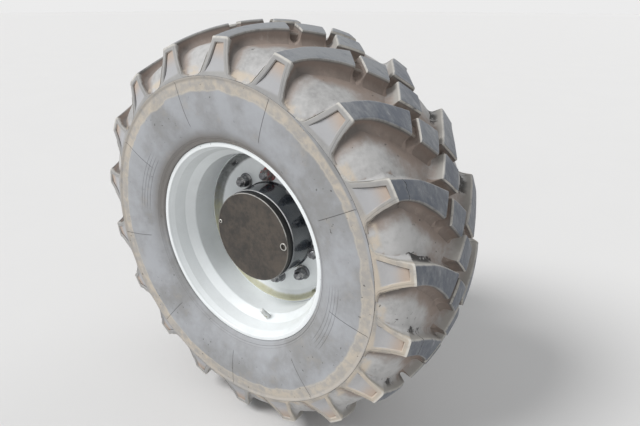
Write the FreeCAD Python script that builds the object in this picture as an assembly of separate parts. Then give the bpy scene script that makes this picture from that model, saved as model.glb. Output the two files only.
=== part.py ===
import FreeCAD, Part
import math
import os

# Steered planetary wheel end of a telehandler, in millimetres, +Z up.
# The origin is the centre of the arm's bolting face. The axle runs along Y: +Y is
# towards the machine, -Y is the outer side of the wheel.

V = FreeCAD.Vector
X_AXIS, Y_AXIS, Z_AXIS = V(1, 0, 0), V(0, 1, 0), V(0, 0, 1)

# Places along the axle
ARM_LENGTH = 420.0          # bolting face to steering axis
PIN_INSET = 130.0           # wheel centre plane to steering axis
PIN_Y = -ARM_LENGTH
WHEEL_Y = PIN_Y - PIN_INSET
STEER_LIMIT = 35.0          # degrees each way

# Clearances
SEAT_GAP = 0.3              # between pieces that seat on each other
RUN_GAP = 0.6               # between pieces that turn in each other
OVERRUN = 5.0               # how far a cut runs past what it cuts

# Tyre, measured from the wheel's centre plane
CROWN_R = 598.0             # radius over the lugs at the centre
CROWN_ARC = 600.0           # radius of the tread's arc across its width
TREAD_HALF = 199.0          # half the width over the lugs' upper corners
LUG_DEPTH = 35.0            # lug height at the centre
FLOOR_ARC = 757.0           # radius of the tread floor's arc across its width
FLOOR_HALF = 150.0          # half width of that arc
FLOOR_FLAT = 60.0           # half width of the floor's middle flat
SCOOP_HALF = 203.0          # half width of the floor where it turns down to the ridge
CROWN_FLAT = 60.0           # half width of the crown's middle flat
RIDGE_DROP = 125.0          # from the crown down to the shoulder ridge under the lugs
RIDGE_R = CROWN_R - RIDGE_DROP
RIDGE_HALF = 224.7
RIDGE_RISE, RIDGE_WIDTH = 1.8, 14.0
SCOOP_RISE = 46.0           # from the ridge to where the floor turns
BEAD_BULGE, BEAD_OUT = 24.0, 14.0   # the side wall's lower end over and outside the rim's lip
WALL_HALF = 226.8           # half the width of the tyre
WALL_BULGE, WALL_DIP = 10.0, 3.0    # the wall's belly, in from mid height and from the widest place
TREAD_WALL = 28.0
LUG_ROOT = 21.0             # how deep the lugs reach into the carcass
SIDE_WALL = 19.0
LINER_RISE = 34.0           # inner wall's widest place, out from the wall's mid height
LINER_CORNER = 10.0         # inner wall's corner under the tread, in from the floor's arc
LUG_COUNT = 18              # a side
LUG_PHASE = 10.7            # degrees, first outer lug's leading edge
LUG_DRAFT = 8.5             # degrees
LUG_GAUGE = 12.0            # depth under the crown at which a lug has its outline's width
LUG_SPARE, LUG_FOOT = 6.0, 34.0     # how far a lug's blank runs over the crown and under the ridge
TYRE_FLATS = 36             # the carcass is drawn with this many flats a turn

# One outer lug and its inner block: (degrees from the lug's leading edge, y)
LUG_OUTLINE = [(0.0, -260.0), (0.0, -199.0), (-1.7, -126.0), (-4.9, -75.0), (-7.5, -33.0),
               (-12.6, -76.0), (-8.7, -113.0), (-5.3, -165.0), (-5.0, -260.0)]
POCKET_DEPTH = 6.5
# Recess in the lug's end face: (height over the ridge, degrees from the leading edge, depth)
POCKET = [(77.0, -0.1, POCKET_DEPTH), (77.0, -2.4, POCKET_DEPTH), (16.0, -4.6, 0.5), (16.0, 1.6, 0.5)]
BLOCK_OUTLINE = [(-9.8, -18.0), (-13.2, 35.0), (-15.5, 34.0), (-19.3, -16.0), (-15.0, -55.0)]

# Rim and disc, measured from the wheel's centre plane. The bead seat drives the radii.
SEAT_R = 285.75             # bead seat at the flange
SEAT_WIDTH = 38.0
SEAT_TAPER = 15.0           # degrees
FLANGE_RISE = 12.75         # from the bead seat out to the lip
LIP_R = SEAT_R + FLANGE_RISE
LIP_HALF = 190.5            # outer faces of the two flanges
FLANGE_WIDTH = 12.7
RIM_WALL = 9.0
WELL_DROP = 27.75           # from the bead seat in to the well
WELL_R = SEAT_R - WELL_DROP  # outer radius of the well
WELL_HALF = 116.0
DISC_WALL = 15.0
DISC_ROLL = 38.0            # from the well in to where the disc's flat turns into its rolled edge
DISC_FLAT_R = WELL_R - DISC_ROLL
DISC_EDGE_DEPTH = 36.0      # rolled edge, from the disc's inner face
DISC_EDGE_WALL = 6.0
SLOT_OUT, SLOT_LENGTH, SLOT_WIDTH = 13.0, 27.0, 8.0
SLOT_R = DISC_FLAT_R + SLOT_OUT
SLOT_ANGLES = (-49.0, 131.0)

# Wheel studs and nuts
STUD_COUNT = 10
STUD_INSET = 52.5           # from the disc's rolled edge in to the studs
STUD_CIRCLE_R = DISC_FLAT_R - STUD_INSET
STUD_PHASE = 94.5
STUD_R = 11.0
STUD_HOLE_R = 12.5
STUD_LENGTH = 54.0          # from the disc's inner face outwards
STUD_SIDES = 12             # studs, their holes and their washers are drawn with twelve sides
NUT_FLATS = 32.0
NUT_HEIGHT = 22.0
WASHER_R = 23.0
WASHER_HEIGHT = 6.0

# Hub
STUD_EDGE = 30.5            # from the studs out to the hub flange's edge
HUB_FLANGE_R = STUD_CIRCLE_R + STUD_EDGE
HUB_FLANGE_WALL = 22.0
STUD_TO_DRUM = 27.5
DRUM_R = STUD_CIRCLE_R - STUD_TO_DRUM
NECK_STEP = 22.0            # from the drum's radius in to the hub's neck
HUB_NECK_R, HUB_NECK = DRUM_R - NECK_STEP, 9.4
PILOT_GAP = 0.5
DRUM_FRONT = 100.0          # drum's front edge, outward of the centre plane
CAP_STEP = 3.4              # from the drum's radius in to the cap's
CAP_R = DRUM_R - CAP_STEP
CAP_FRONT = 122.0
PLUG_INSET = 18.6           # from the cap's edge in to the plug
PLUG_CIRCLE_R = CAP_R - PLUG_INSET
PLUG_R, PLUG_ANGLE = 13.0, 3.0
PLUG_SUNK, PLUG_HEIGHT, PLUG_SOCKET = 10.0, 11.5, 10.0
SPINDLE_R = 60.0
SPINDLE_END = 70.0          # spindle's end, outward of the centre plane
SPINDLE_FLANGE = 4.0

# Valve
VALVE_ANGLE = -78.0
VALVE_SHARE = 0.3           # how far up the slope from the well to the lip
VALVE_R = 4.5
VALVE_LENGTH = 42.0
VALVE_NUT_FLATS, VALVE_NUT = 14.0, 6.0

# Knuckle
PLATE_R = 150.0
PLATE_WALL = 20.0
PLATE_FACE = 36.0           # plate's outer face, inward of the wheel's centre plane
PLATE_BORE_R = 44.0
EYE_R = 48.0                # axle arm's eyes round the kingpins
EYE_LOW, EYE_HIGH = 78.0, 128.0
YOKE_GAP = 3.0              # between the arm's eyes and the knuckle's arms
YOKE_WALL = 40.0
YOKE_EYE_R = 56.0
YOKE_HALF = 84.0            # half width of the arms at the plate
YOKE_BEVEL, YOKE_WEB = 14.0, 22.0   # bevel over the arms, and web under them at the plate
PIN_R = 27.0
PIN_INNER_Z = 84.0
PIN_CAP_R, PIN_CAP_WALL = 50.0, 15.0
CAP_BOLT_CIRCLE_R, CAP_BOLT_FLATS, CAP_BOLT_HEAD = 37.0, 19.0, 10.0
PLATE_BOLT_CIRCLE_R, PLATE_BOLT_FLATS, PLATE_BOLT_HEAD = 90.0, 24.0, 14.0
PLATE_BOLT_ANGLES = (20.0, 50.0, 130.0, 160.0, 200.0, 230.0, 310.0, 340.0)
STOP_X, STOP_TIP = 120.0, -5.0      # stop screws in the knuckle's own frame
STOP_R, STOP_BOSS_R, STOP_BOSS = 9.0, 17.0, 26.0
STOP_NUT_FLATS, STOP_NUT = 27.0, 13.0
STOP_CLEAR = 1.0            # left between screw and pad at full lock
PAD_WIDTH, PAD_LENGTH, PAD_HEIGHT = 28.0, 60.0, 32.0
LEVER_X, LEVER_Y, LEVER_Z = -222.0, 118.0, -58.0  # tie rod eye from the steering axis
LEVER_EYE_R, LEVER_HEIGHT, LEVER_BORE_R = 28.0, 38.0, 12.0
LEVER_ROOT = (-98.0, -134.0)    # the lever's foot on the plate, from the inner to the outer side
LEVER_THICK = 16.0          # half the lever's thickness at its eye

# Axle arm
ARM_FLANGE_R, ARM_FLANGE_WALL = 168.0, 24.0
ARM_ROOT_HIGH, ARM_NECK_HIGH = 108.0, 92.0      # beam's half heights
ARM_ROOT_HALF, ARM_NECK_HALF = 92.0, 68.0       # and half widths
ARM_NECK_FROM_PIN = 110.0
ARM_BOLTS, ARM_BOLT_CIRCLE_R, ARM_HOLE_R = 12, 146.0, 8.75
FORK_CLEAR_R = 75.0

# Drive shaft joint
SHAFT_R = 23.0
SHAFT_SHORT = 6.0           # how far each shaft ends inside its bore
JOINT_EAR_IN, JOINT_EAR_OUT = 36.0, 54.0
JOINT_EAR_R = 18.0
JOINT_PIN_R = 10.0
JOINT_HUB_FROM, JOINT_HUB_TO = 50.0, 68.0


def outline(points):
    """Closed wire in the plane of radius (X) and y; an entry of four numbers is an arc
    through its first pair to its second pair."""
    edges, last = [], V(points[0][0], points[0][1], 0)
    for entry in points[1:] + points[:1]:
        end = V(entry[-2], entry[-1], 0)
        if len(entry) == 4:
            edges.append(Part.Arc(last, V(entry[0], entry[1], 0), end).toShape())
        else:
            edges.append(Part.LineSegment(last, end).toShape())
        last = end
    return Part.Wire(edges)


def turned(points):
    """Solid of revolution about the Y axis from (radius, y) points."""
    return Part.Face(outline(points)).revolve(V(0, 0, 0), Y_AXIS, 360)


def tube(inner_r, outer_r, y_low, y_high):
    return turned([(inner_r, y_low), (outer_r, y_low), (outer_r, y_high), (inner_r, y_high)])


def ring_of_flats(points, flats):
    """Ring solid whose flats touch the (radius, y) corners, as one sector repeated round the
    Y axis. A corner of the ring lies under the middle of the first lug."""
    half = math.pi / flats
    section = [V(r, y, 0) for r, y in points]
    reach = 3 * max(r for r, _ in points) * math.tan(half)
    slab = Part.Face(Part.makePolygon(section + section[:1])).extrude(V(0, 0, reach))
    slab.translate(V(0, 0, -reach / 2))
    far = 2 * max(r for r, _ in points)
    low, high = min(y for _, y in points) - 1, max(y for _, y in points) + 1
    corner = [V(0, low, 0), V(far, low, far * math.tan(half)), V(far, low, -far * math.tan(half))]
    wedge = Part.Face(Part.makePolygon(corner + corner[:1])).extrude(V(0, high - low, 0))
    sector = slab.common(wedge)
    angles = [a for a, _ in LUG_OUTLINE]
    first = LUG_PHASE + (min(angles) + max(angles)) / 2
    sectors = [spun(sector, first + 360.0 / flats * (index + 0.5)) for index in range(flats)]
    return sectors[0].multiFuse(sectors[1:])


def prism(radius, sides, start, end):
    """Round bar drawn with flat sides, from one point to another."""
    ring = [V(radius * math.cos(math.radians(360.0 / sides * i)),
              radius * math.sin(math.radians(360.0 / sides * i)), 0) for i in range(sides + 1)]
    solid = Part.Face(Part.makePolygon(ring)).extrude(V(0, 0, (end - start).Length))
    solid.Placement = FreeCAD.Placement(start, FreeCAD.Rotation(Z_AXIS, end - start))
    return solid


def rod(radius, start, end):
    """Cylinder from one point to another."""
    axis = end - start
    return Part.makeCylinder(radius, axis.Length, start, axis)


def hexagon(flats, height, base, axis):
    """Hexagonal prism that stands on a point."""
    return prism(flats / math.sqrt(3), 6, base, base + axis * height)


def polar(radius, degrees, y=0.0):
    a = math.radians(degrees)
    return V(radius * math.cos(a), y, radius * math.sin(a))


def on_wheel(shape):
    """Move a shape from the wheel's own frame to its place on the axle."""
    shape.translate(V(0, WHEEL_Y, 0))
    return shape


def spun(shape, degrees):
    copy = shape.copy()
    copy.rotate(V(0, 0, 0), Y_AXIS, -degrees)
    return copy


def crown_radius(y):
    """Radius over the lugs at a distance from the centre plane."""
    y = min(abs(y), TREAD_HALF)
    return CROWN_R - CROWN_ARC + math.sqrt(CROWN_ARC ** 2 - y ** 2)


def floor_radius(y):
    return CROWN_R - LUG_DEPTH - FLOOR_ARC + math.sqrt(FLOOR_ARC ** 2 - y ** 2)


def mirrored(points):
    """The same points with y turned over, in reverse order."""
    turned_over = []
    for index in range(len(points) - 1, -1, -1):
        r, y = points[index][-2:]
        turned_over.append((r, -y))
    return turned_over


def tyre_carcass():
    seat_drop = SEAT_WIDTH * math.tan(math.radians(SEAT_TAPER))
    seat_y = LIP_HALF - FLANGE_WIDTH - SEAT_GAP
    wall_mid = (LIP_R + RIDGE_R) / 2
    outer = [
        (SEAT_R - seat_drop + SEAT_GAP, seat_y - SEAT_WIDTH),
        (SEAT_R + SEAT_GAP, seat_y),
        (LIP_R + SEAT_GAP, seat_y),
        (LIP_R + BEAD_BULGE, LIP_HALF + BEAD_OUT),
        (wall_mid - WALL_BULGE, WALL_HALF - WALL_DIP),
        (RIDGE_R - RIDGE_WIDTH, WALL_HALF),
        (RIDGE_R, RIDGE_HALF + RIDGE_RISE),
        (RIDGE_R + SCOOP_RISE, SCOOP_HALF),
        (floor_radius(FLOOR_HALF), FLOOR_HALF),
        (floor_radius(FLOOR_FLAT), FLOOR_FLAT),
    ]
    inner = [
        (CROWN_R - LUG_DEPTH - TREAD_WALL, FLOOR_HALF - LINER_CORNER),
        (wall_mid + LINER_RISE, WALL_HALF - SIDE_WALL),
        (LIP_R + BEAD_BULGE / 2, LIP_HALF - SIDE_WALL),
    ]
    section = outer + mirrored(outer) + mirrored(inner) + inner
    return ring_of_flats(section, TYRE_FLATS)


def lug_envelope():
    """Everything between the shoulder ridges and the crown, down into the carcass's wall."""
    side = [(CROWN_R - LUG_DEPTH - LUG_ROOT, FLOOR_HALF), (RIDGE_R - LUG_ROOT, RIDGE_HALF - LUG_ROOT / 2),
            (RIDGE_R, RIDGE_HALF), (crown_radius(TREAD_HALF), TREAD_HALF), (CROWN_R, CROWN_FLAT)]
    return ring_of_flats(side + mirrored(side), TYRE_FLATS)


def grown(points, distance):
    """A polygon with each side moved outwards by a distance."""
    count, result = len(points), []
    area = sum(points[i - 1][0] * points[i][1] - points[i][0] * points[i - 1][1]
               for i in range(count))
    side = 1.0 if area > 0 else -1.0
    for i in range(count):
        (ax, ay), (bx, by), (cx, cy) = points[i - 1], points[i], points[(i + 1) % count]
        first, second = math.hypot(bx - ax, by - ay), math.hypot(cx - bx, cy - by)
        n1 = (side * (by - ay) / first, side * (ax - bx) / first)
        n2 = (side * (cy - by) / second, side * (bx - cx) / second)
        scale = distance / (1.0 + n1[0] * n2[0] + n1[1] * n2[1])
        result.append((bx + scale * (n1[0] + n2[0]), by + scale * (n1[1] + n2[1])))
    return result


def lug_prism(points, phase):
    """Drafted prism along the radius at the middle of an outline of (degrees, y)."""
    angles = [a for a, _ in points]
    middle = (min(angles) + max(angles)) / 2
    flat = [(crown_radius(y) * math.sin(math.radians(a - middle)), y) for a, y in points]
    top_h, reference_h, low_h = CROWN_R + LUG_SPARE, CROWN_R - LUG_GAUGE, RIDGE_R - LUG_FOOT
    slope = math.tan(math.radians(LUG_DRAFT))
    low, top = [[V(height, y, t) for t, y in grown(flat, slope * (reference_h - height))]
                for height in (low_h, top_h)]
    return spun(frustum(low, top), middle + phase)


def frustum(low, top):
    """Solid between two like polygons with parallel sides."""
    faces = [Part.Face(Part.makePolygon(ring + ring[:1])) for ring in (low, top)]
    for i in range(len(low)):
        faces.append(Part.Face(Part.makePolygon([low[i - 1], low[i], top[i], top[i - 1], low[i - 1]])))
    shell = Part.Shell(faces)
    shell.sewShape()
    return Part.Solid(shell)


def lug_pocket():
    """Recess in the first lug's end face, deepest at the top and flush at its foot."""
    lean = (RIDGE_HALF - TREAD_HALF) / (crown_radius(TREAD_HALF) - RIDGE_R)
    angles = [a for a, _ in LUG_OUTLINE]
    flat_middle = LUG_PHASE + (min(angles) + max(angles)) / 2 + 180.0 / TYRE_FLATS
    outside, recess = [], []
    for rise, angle, depth in POCKET:
        height = RIDGE_R + rise
        face_y = -(RIDGE_HALF - lean * rise)
        across = height * math.tan(math.radians(LUG_PHASE + angle - flat_middle))
        outside.append(V(height, face_y - POCKET_DEPTH, across))
        recess.append(V(height, face_y + depth, across))
    return spun(frustum(outside, recess), flat_middle)


def tyre():
    envelope = lug_envelope()
    near = [lug_prism(points, LUG_PHASE).common(envelope) for points in (LUG_OUTLINE, BLOCK_OUTLINE)]
    near[0] = near[0].cut(lug_pocket())
    pitch = 360.0 / LUG_COUNT
    far = [spun(shape.mirror(V(0, 0, 0), Y_AXIS), -pitch / 2) for shape in near]
    lugs = [spun(shape, pitch * index) for index in range(LUG_COUNT) for shape in near + far]
    return tyre_carcass().multiFuse(lugs)


def rim_side(sign):
    """Half of the rim's outline, tyre side first, from the well to the lip and back."""
    seat_drop = SEAT_WIDTH * math.tan(math.radians(SEAT_TAPER))
    seat_y = LIP_HALF - FLANGE_WIDTH
    points = [
        (WELL_R, WELL_HALF),
        (SEAT_R - seat_drop, seat_y - SEAT_WIDTH),
        (SEAT_R, seat_y),
        (LIP_R, seat_y),
        (LIP_R, LIP_HALF),
        (LIP_R - RIM_WALL, LIP_HALF),
        (WELL_R - RIM_WALL, WELL_HALF - 3.0),
    ]
    return [(r, sign * y) for r, y in points]


def rim_slope():
    """Both ends of the outer slope between the well and the lip, on the hub's side."""
    points = rim_side(-1.0)
    return V(points[-1][0], points[-1][1], 0), V(points[-2][0], points[-2][1], 0)


def rim():
    return turned(rim_side(1.0) + rim_side(-1.0)[::-1])


def wheel_disc():
    edge_r = WELL_R - RIM_WALL - SEAT_GAP
    lip_r = edge_r - DISC_EDGE_WALL
    plate = turned([
        (DRUM_R + PILOT_GAP, 0.0), (DRUM_R + PILOT_GAP, -DISC_WALL), (DISC_FLAT_R, -DISC_WALL),
        (lip_r, -DISC_EDGE_DEPTH), (edge_r, -DISC_EDGE_DEPTH), (edge_r, 0.0),
    ])
    holes = [stud_bar(STUD_HOLE_R, angle, OVERRUN, -DISC_WALL - OVERRUN) for angle in stud_angles()]
    slots = []
    for angle in SLOT_ANGLES:
        half = math.degrees((SLOT_LENGTH - SLOT_WIDTH) / 2 / SLOT_R)
        far_y, reach = -DISC_EDGE_DEPTH - OVERRUN, DISC_EDGE_DEPTH + 2 * OVERRUN
        ends = [rod(SLOT_WIDTH / 2, polar(SLOT_R, angle + s * half, OVERRUN),
                    polar(SLOT_R, angle + s * half, far_y)) for s in (-1, 1)]
        band = Part.makeBox(SLOT_WIDTH, reach, SLOT_LENGTH - SLOT_WIDTH,
                            V(SLOT_R - SLOT_WIDTH / 2, far_y, -(SLOT_LENGTH - SLOT_WIDTH) / 2))
        slots += ends + [spun(band, angle)]
    return plate.cut(holes + slots)


def stud_angles():
    return [STUD_PHASE + 360.0 / STUD_COUNT * index for index in range(STUD_COUNT)]


def stud_bar(radius, angle, start_y, end_y):
    start, end = (polar(STUD_CIRCLE_R, angle, y) for y in (start_y, end_y))
    return prism(radius, STUD_SIDES, start, end)


def wheel_studs():
    return [stud_bar(STUD_R, angle, SEAT_GAP, -STUD_LENGTH) for angle in stud_angles()]


def wheel_nuts():
    """Each nut is one solid with the washer that it turns on."""
    nuts, seat_y = [], -DISC_WALL - SEAT_GAP
    for angle in stud_angles():
        washer = stud_bar(WASHER_R, angle, seat_y, seat_y - WASHER_HEIGHT)
        nut = hexagon(NUT_FLATS, NUT_HEIGHT, polar(STUD_CIRCLE_R, angle, seat_y - WASHER_HEIGHT), -Y_AXIS)
        bore = stud_bar(STUD_R + SEAT_GAP, angle, OVERRUN, -STUD_LENGTH - OVERRUN)
        nuts.append(washer.fuse(nut).cut(bore))
    return nuts


def hub_drum():
    """Hub flange, pilot and planet carrier housing, bored for the spindle."""
    bore_r = SPINDLE_R + RUN_GAP
    return turned([
        (0.0, -DRUM_FRONT), (DRUM_R, -DRUM_FRONT), (DRUM_R, SEAT_GAP),
        (HUB_FLANGE_R, SEAT_GAP), (HUB_FLANGE_R, HUB_FLANGE_WALL),
        (HUB_NECK_R, HUB_FLANGE_WALL), (HUB_NECK_R, HUB_FLANGE_WALL + HUB_NECK),
        (bore_r, HUB_FLANGE_WALL + HUB_NECK), (bore_r, -SPINDLE_END - RUN_GAP),
        (0.0, -SPINDLE_END - RUN_GAP),
    ])


def hub_cap():
    cap = turned([
        (0.0, -CAP_FRONT), (CAP_R, -CAP_FRONT),
        (CAP_R, -DRUM_FRONT - SEAT_GAP), (0.0, -DRUM_FRONT - SEAT_GAP),
    ])
    front = polar(PLUG_CIRCLE_R, PLUG_ANGLE, -CAP_FRONT - OVERRUN)
    seat = polar(PLUG_CIRCLE_R, PLUG_ANGLE, -CAP_FRONT + PLUG_SUNK)
    return cap.cut(prism(PLUG_R + 2 * SEAT_GAP, STUD_SIDES, front, seat))


def level_plug():
    seat = polar(PLUG_CIRCLE_R, PLUG_ANGLE, -CAP_FRONT + PLUG_SUNK - SEAT_GAP)
    head = seat + V(0, -PLUG_HEIGHT, 0)
    socket = hexagon(PLUG_SOCKET, PLUG_HEIGHT / 2, head, Y_AXIS)
    return prism(PLUG_R, STUD_SIDES, seat, head).cut(socket)


def valve_stem():
    """Short stem square to the slope between the well and the lip."""
    low, high = rim_slope()
    way = V(high.y - low.y, low.x - high.x, 0).normalize()
    start = low + (high - low) * VALVE_SHARE + way * SEAT_GAP
    stem = prism(VALVE_R, STUD_SIDES, start, start + way * VALVE_LENGTH)
    return spun(stem.fuse(hexagon(VALVE_NUT_FLATS, VALVE_NUT, start, way)), VALVE_ANGLE)


def sides_and_top(side, top, half, height):
    """Casting blank from its outline seen from the side (y, z) and from the top (x, y)."""
    flank = Part.Face(Part.makePolygon([V(-half, y, z) for y, z in side + side[:1]]))
    plan = Part.Face(Part.Wire(top))
    return flank.extrude(V(2 * half, 0, 0)).common(plan.extrude(V(0, 0, 2 * height)))


def eye_plan(eye_r, corners, base_z):
    """Top outline of an eye round the steering axis that runs on through (y, half width) corners."""
    sign = 1.0 if corners[0][0] > 0 else -1.0
    start, tip, end = V(-eye_r, 0, base_z), V(0, -sign * eye_r, base_z), V(eye_r, 0, base_z)
    points = [end] + [V(half, y, base_z) for y, half in corners]
    points += [V(-half, y, base_z) for y, half in corners[::-1]] + [start]
    edges = [Part.LineSegment(a, b).toShape() for a, b in zip(points, points[1:])]
    return [Part.Arc(start, tip, end).toShape()] + edges


def steering_axis(shape):
    """Move a shape from the steering axis's own frame to its place on the axle."""
    shape.translate(V(0, PIN_Y, 0))
    return shape


def stop_pad(sign):
    """Pad on the arm that the stop screw meets square at full lock."""
    corner = V(STOP_X - PAD_WIDTH / 2, STOP_TIP + STOP_CLEAR, -PAD_HEIGHT / 2)
    pad = Part.makeBox(PAD_WIDTH, PAD_LENGTH, PAD_HEIGHT, corner)
    pad.rotate(V(0, 0, 0), Z_AXIS, STEER_LIMIT)
    return pad if sign > 0 else pad.mirror(V(0, 0, 0), X_AXIS)


def axle_arm():
    """Round bolting flange, tapered hollow beam and fork with the two kingpin eyes."""
    neck, bush_r = ARM_NECK_FROM_PIN, SHAFT_R + RUN_GAP
    root_y = ARM_LENGTH - ARM_FLANGE_WALL
    upper = [(-EYE_R, EYE_LOW), (-EYE_R, EYE_HIGH), (EYE_R, EYE_HIGH), (neck, ARM_NECK_HIGH),
             (root_y, ARM_ROOT_HIGH)]
    side = upper + [(y, -z) for y, z in upper[::-1]]
    plan = eye_plan(EYE_R, [(neck, ARM_NECK_HALF), (root_y, ARM_ROOT_HALF)], -EYE_HIGH - 1)
    beam = sides_and_top(side, plan, ARM_ROOT_HALF + 1, EYE_HIGH + 1)
    beam = steering_axis(beam.fuse([stop_pad(1), stop_pad(-1)]))
    flange = tube(bush_r, ARM_FLANGE_R, -ARM_FLANGE_WALL, 0.0)
    wide, deep = ARM_NECK_HALF + EYE_R, FORK_CLEAR_R + EYE_R
    mouth = Part.makeBox(2 * wide, deep, 2 * EYE_LOW, V(-wide, -deep, -EYE_LOW))
    cuts = [rod(PIN_R + RUN_GAP / 2, V(0, PIN_Y, -2 * EYE_HIGH), V(0, PIN_Y, 2 * EYE_HIGH)),
            rod(bush_r, V(0, OVERRUN, 0), V(0, PIN_Y, 0)),
            steering_axis(rod(FORK_CLEAR_R, V(-wide, 0, 0), V(wide, 0, 0))), steering_axis(mouth)]
    for i in range(ARM_BOLTS):
        angle = 360.0 / ARM_BOLTS * (i + 0.5)
        cuts.append(rod(ARM_HOLE_R, polar(ARM_BOLT_CIRCLE_R, angle, OVERRUN),
                        polar(ARM_BOLT_CIRCLE_R, angle, -ARM_FLANGE_WALL - OVERRUN)))
    return flange.fuse(beam).cut(cuts)


def knuckle():
    plate_in = PLATE_FACE + PLATE_WALL - PIN_INSET
    plate_out = PLATE_FACE - PIN_INSET
    low = EYE_HIGH + YOKE_GAP
    high = low + YOKE_WALL
    upper = [(plate_out, high - YOKE_BEVEL), (-0.7 * YOKE_EYE_R, high), (YOKE_EYE_R, high),
             (YOKE_EYE_R, low), (-YOKE_EYE_R, low), (plate_in, low - YOKE_WEB)]
    side = upper + [(y, -z) for y, z in upper[::-1]]
    plan = eye_plan(YOKE_EYE_R, [(plate_out, YOKE_HALF)], -high - 1)
    yoke = sides_and_top(side, plan, PLATE_R, high + 1)
    plate = tube(PLATE_BORE_R, PLATE_R, plate_out, plate_in)
    stops = [rod(STOP_BOSS_R, V(s * STOP_X, plate_out, 0), V(s * STOP_X, plate_in + STOP_BOSS, 0))
             for s in (-1, 1)]
    shape = yoke.fuse([plate] + stops)
    cuts = [rod(PIN_R + SEAT_GAP, V(0, 0, -high - OVERRUN), V(0, 0, high + OVERRUN)),
            rod(PLATE_BORE_R, V(0, plate_out - OVERRUN, 0), V(0, 0, 0))]
    cuts += [rod(STOP_R + SEAT_GAP, V(s * STOP_X, plate_out - OVERRUN, 0), V(s * STOP_X, 0, 0))
             for s in (-1, 1)]
    return steering_axis(shape.cut(cuts))


def steering_lever():
    """Lever that seats on the plate's inner face and carries the tie rod's eye."""
    plate_in = PLATE_FACE + PLATE_WALL - PIN_INSET + SEAT_GAP
    base_z = LEVER_Z - LEVER_HEIGHT / 2
    inner_x, outer_x = LEVER_ROOT
    points = [V(inner_x, plate_in, base_z), V(outer_x, plate_in, base_z),
              V(LEVER_X - LEVER_THICK, LEVER_Y, base_z), V(LEVER_X + LEVER_THICK, LEVER_Y, base_z)]
    arm = Part.Face(Part.makePolygon(points + points[:1])).extrude(V(0, 0, LEVER_HEIGHT))
    top = V(LEVER_X, LEVER_Y, base_z + LEVER_HEIGHT)
    eye = rod(LEVER_EYE_R, V(LEVER_X, LEVER_Y, base_z), top)
    bore = rod(LEVER_BORE_R, V(LEVER_X, LEVER_Y, base_z - OVERRUN), top + V(0, 0, OVERRUN))
    return steering_axis(arm.fuse(eye).cut(bore))


def kingpins():
    """Upper and lower kingpin, each in one with its bolted cap."""
    low = EYE_HIGH + YOKE_GAP + YOKE_WALL + SEAT_GAP
    pins = []
    for sign in (1, -1):
        cap = rod(PIN_CAP_R, V(0, 0, sign * low), V(0, 0, sign * (low + PIN_CAP_WALL)))
        pin = rod(PIN_R, V(0, 0, sign * PIN_INNER_Z), V(0, 0, sign * (low + 1)))
        pins.append(steering_axis(cap.fuse(pin)))
    return pins


def kingpin_bolts():
    base = EYE_HIGH + YOKE_GAP + YOKE_WALL + 2 * SEAT_GAP + PIN_CAP_WALL
    bolts = []
    for sign in (1, -1):
        for angle in (45, 135, 225, 315):
            a = math.radians(angle)
            seat = V(CAP_BOLT_CIRCLE_R * math.cos(a), CAP_BOLT_CIRCLE_R * math.sin(a), sign * base)
            bolts.append(steering_axis(hexagon(CAP_BOLT_FLATS, CAP_BOLT_HEAD, seat, V(0, 0, sign))))
    return bolts


def spindle():
    """Flanged stub that carries the hub; its flange seats on the knuckle's plate."""
    bore_r = SHAFT_R + RUN_GAP
    return on_wheel(turned([
        (bore_r, PLATE_FACE - SEAT_GAP), (HUB_NECK_R, PLATE_FACE - SEAT_GAP),
        (HUB_NECK_R, PLATE_FACE - SPINDLE_FLANGE), (SPINDLE_R, PLATE_FACE - SPINDLE_FLANGE),
        (SPINDLE_R, -SPINDLE_END),
        (bore_r, -SPINDLE_END),
    ]))


def plate_bolts():
    seat_y = WHEEL_Y + PLATE_FACE + PLATE_WALL + SEAT_GAP
    return [hexagon(PLATE_BOLT_FLATS, PLATE_BOLT_HEAD, polar(PLATE_BOLT_CIRCLE_R, angle, seat_y), Y_AXIS)
            for angle in PLATE_BOLT_ANGLES]


def stop_screws():
    screws = []
    for sign in (-1, 1):
        tip = V(sign * STOP_X, STOP_TIP, 0)
        seat = PLATE_FACE + PLATE_WALL - PIN_INSET + STOP_BOSS + SEAT_GAP
        shank = prism(STOP_R, STUD_SIDES, V(sign * STOP_X, seat - STOP_BOSS, 0), tip)
        nut = hexagon(STOP_NUT_FLATS, STOP_NUT, V(sign * STOP_X, seat, 0), Y_AXIS)
        screws.append(steering_axis(shank.fuse(nut)))
    return screws


def joint_fork(axis, sign, shaft_end):
    """Yoke of the drive shaft joint: two ears across an axis, a bridge and its shaft.
    The sign says which way along Y the shaft leaves."""
    def block(low, high, near, far):
        """Bar as wide as an ear, from low to high across and from near to far along."""
        start, end = sorted((sign * near, sign * far))
        corner = axis * low + V(0, start, 0) - (Z_AXIS if axis == X_AXIS else X_AXIS) * JOINT_EAR_R
        size = axis * (high - low) + (Z_AXIS if axis == X_AXIS else X_AXIS) * (2 * JOINT_EAR_R)
        return Part.makeBox(size.x, end - start, size.z, corner)

    pieces = [block(JOINT_EAR_IN, JOINT_EAR_OUT, 0, JOINT_HUB_TO),
              block(-JOINT_EAR_OUT, -JOINT_EAR_IN, 0, JOINT_HUB_TO),
              block(-JOINT_EAR_OUT, JOINT_EAR_OUT, JOINT_HUB_FROM, JOINT_HUB_TO),
              rod(SHAFT_R, V(0, sign * JOINT_HUB_FROM, 0), V(0, shaft_end, 0))]
    pieces += [rod(JOINT_EAR_R, axis * (s * JOINT_EAR_IN), axis * (s * JOINT_EAR_OUT)) for s in (-1, 1)]
    bore = rod(JOINT_PIN_R + SEAT_GAP, axis * (-2 * JOINT_EAR_OUT), axis * (2 * JOINT_EAR_OUT))
    return steering_axis(pieces[0].fuse(pieces[1:]).cut(bore))


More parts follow.
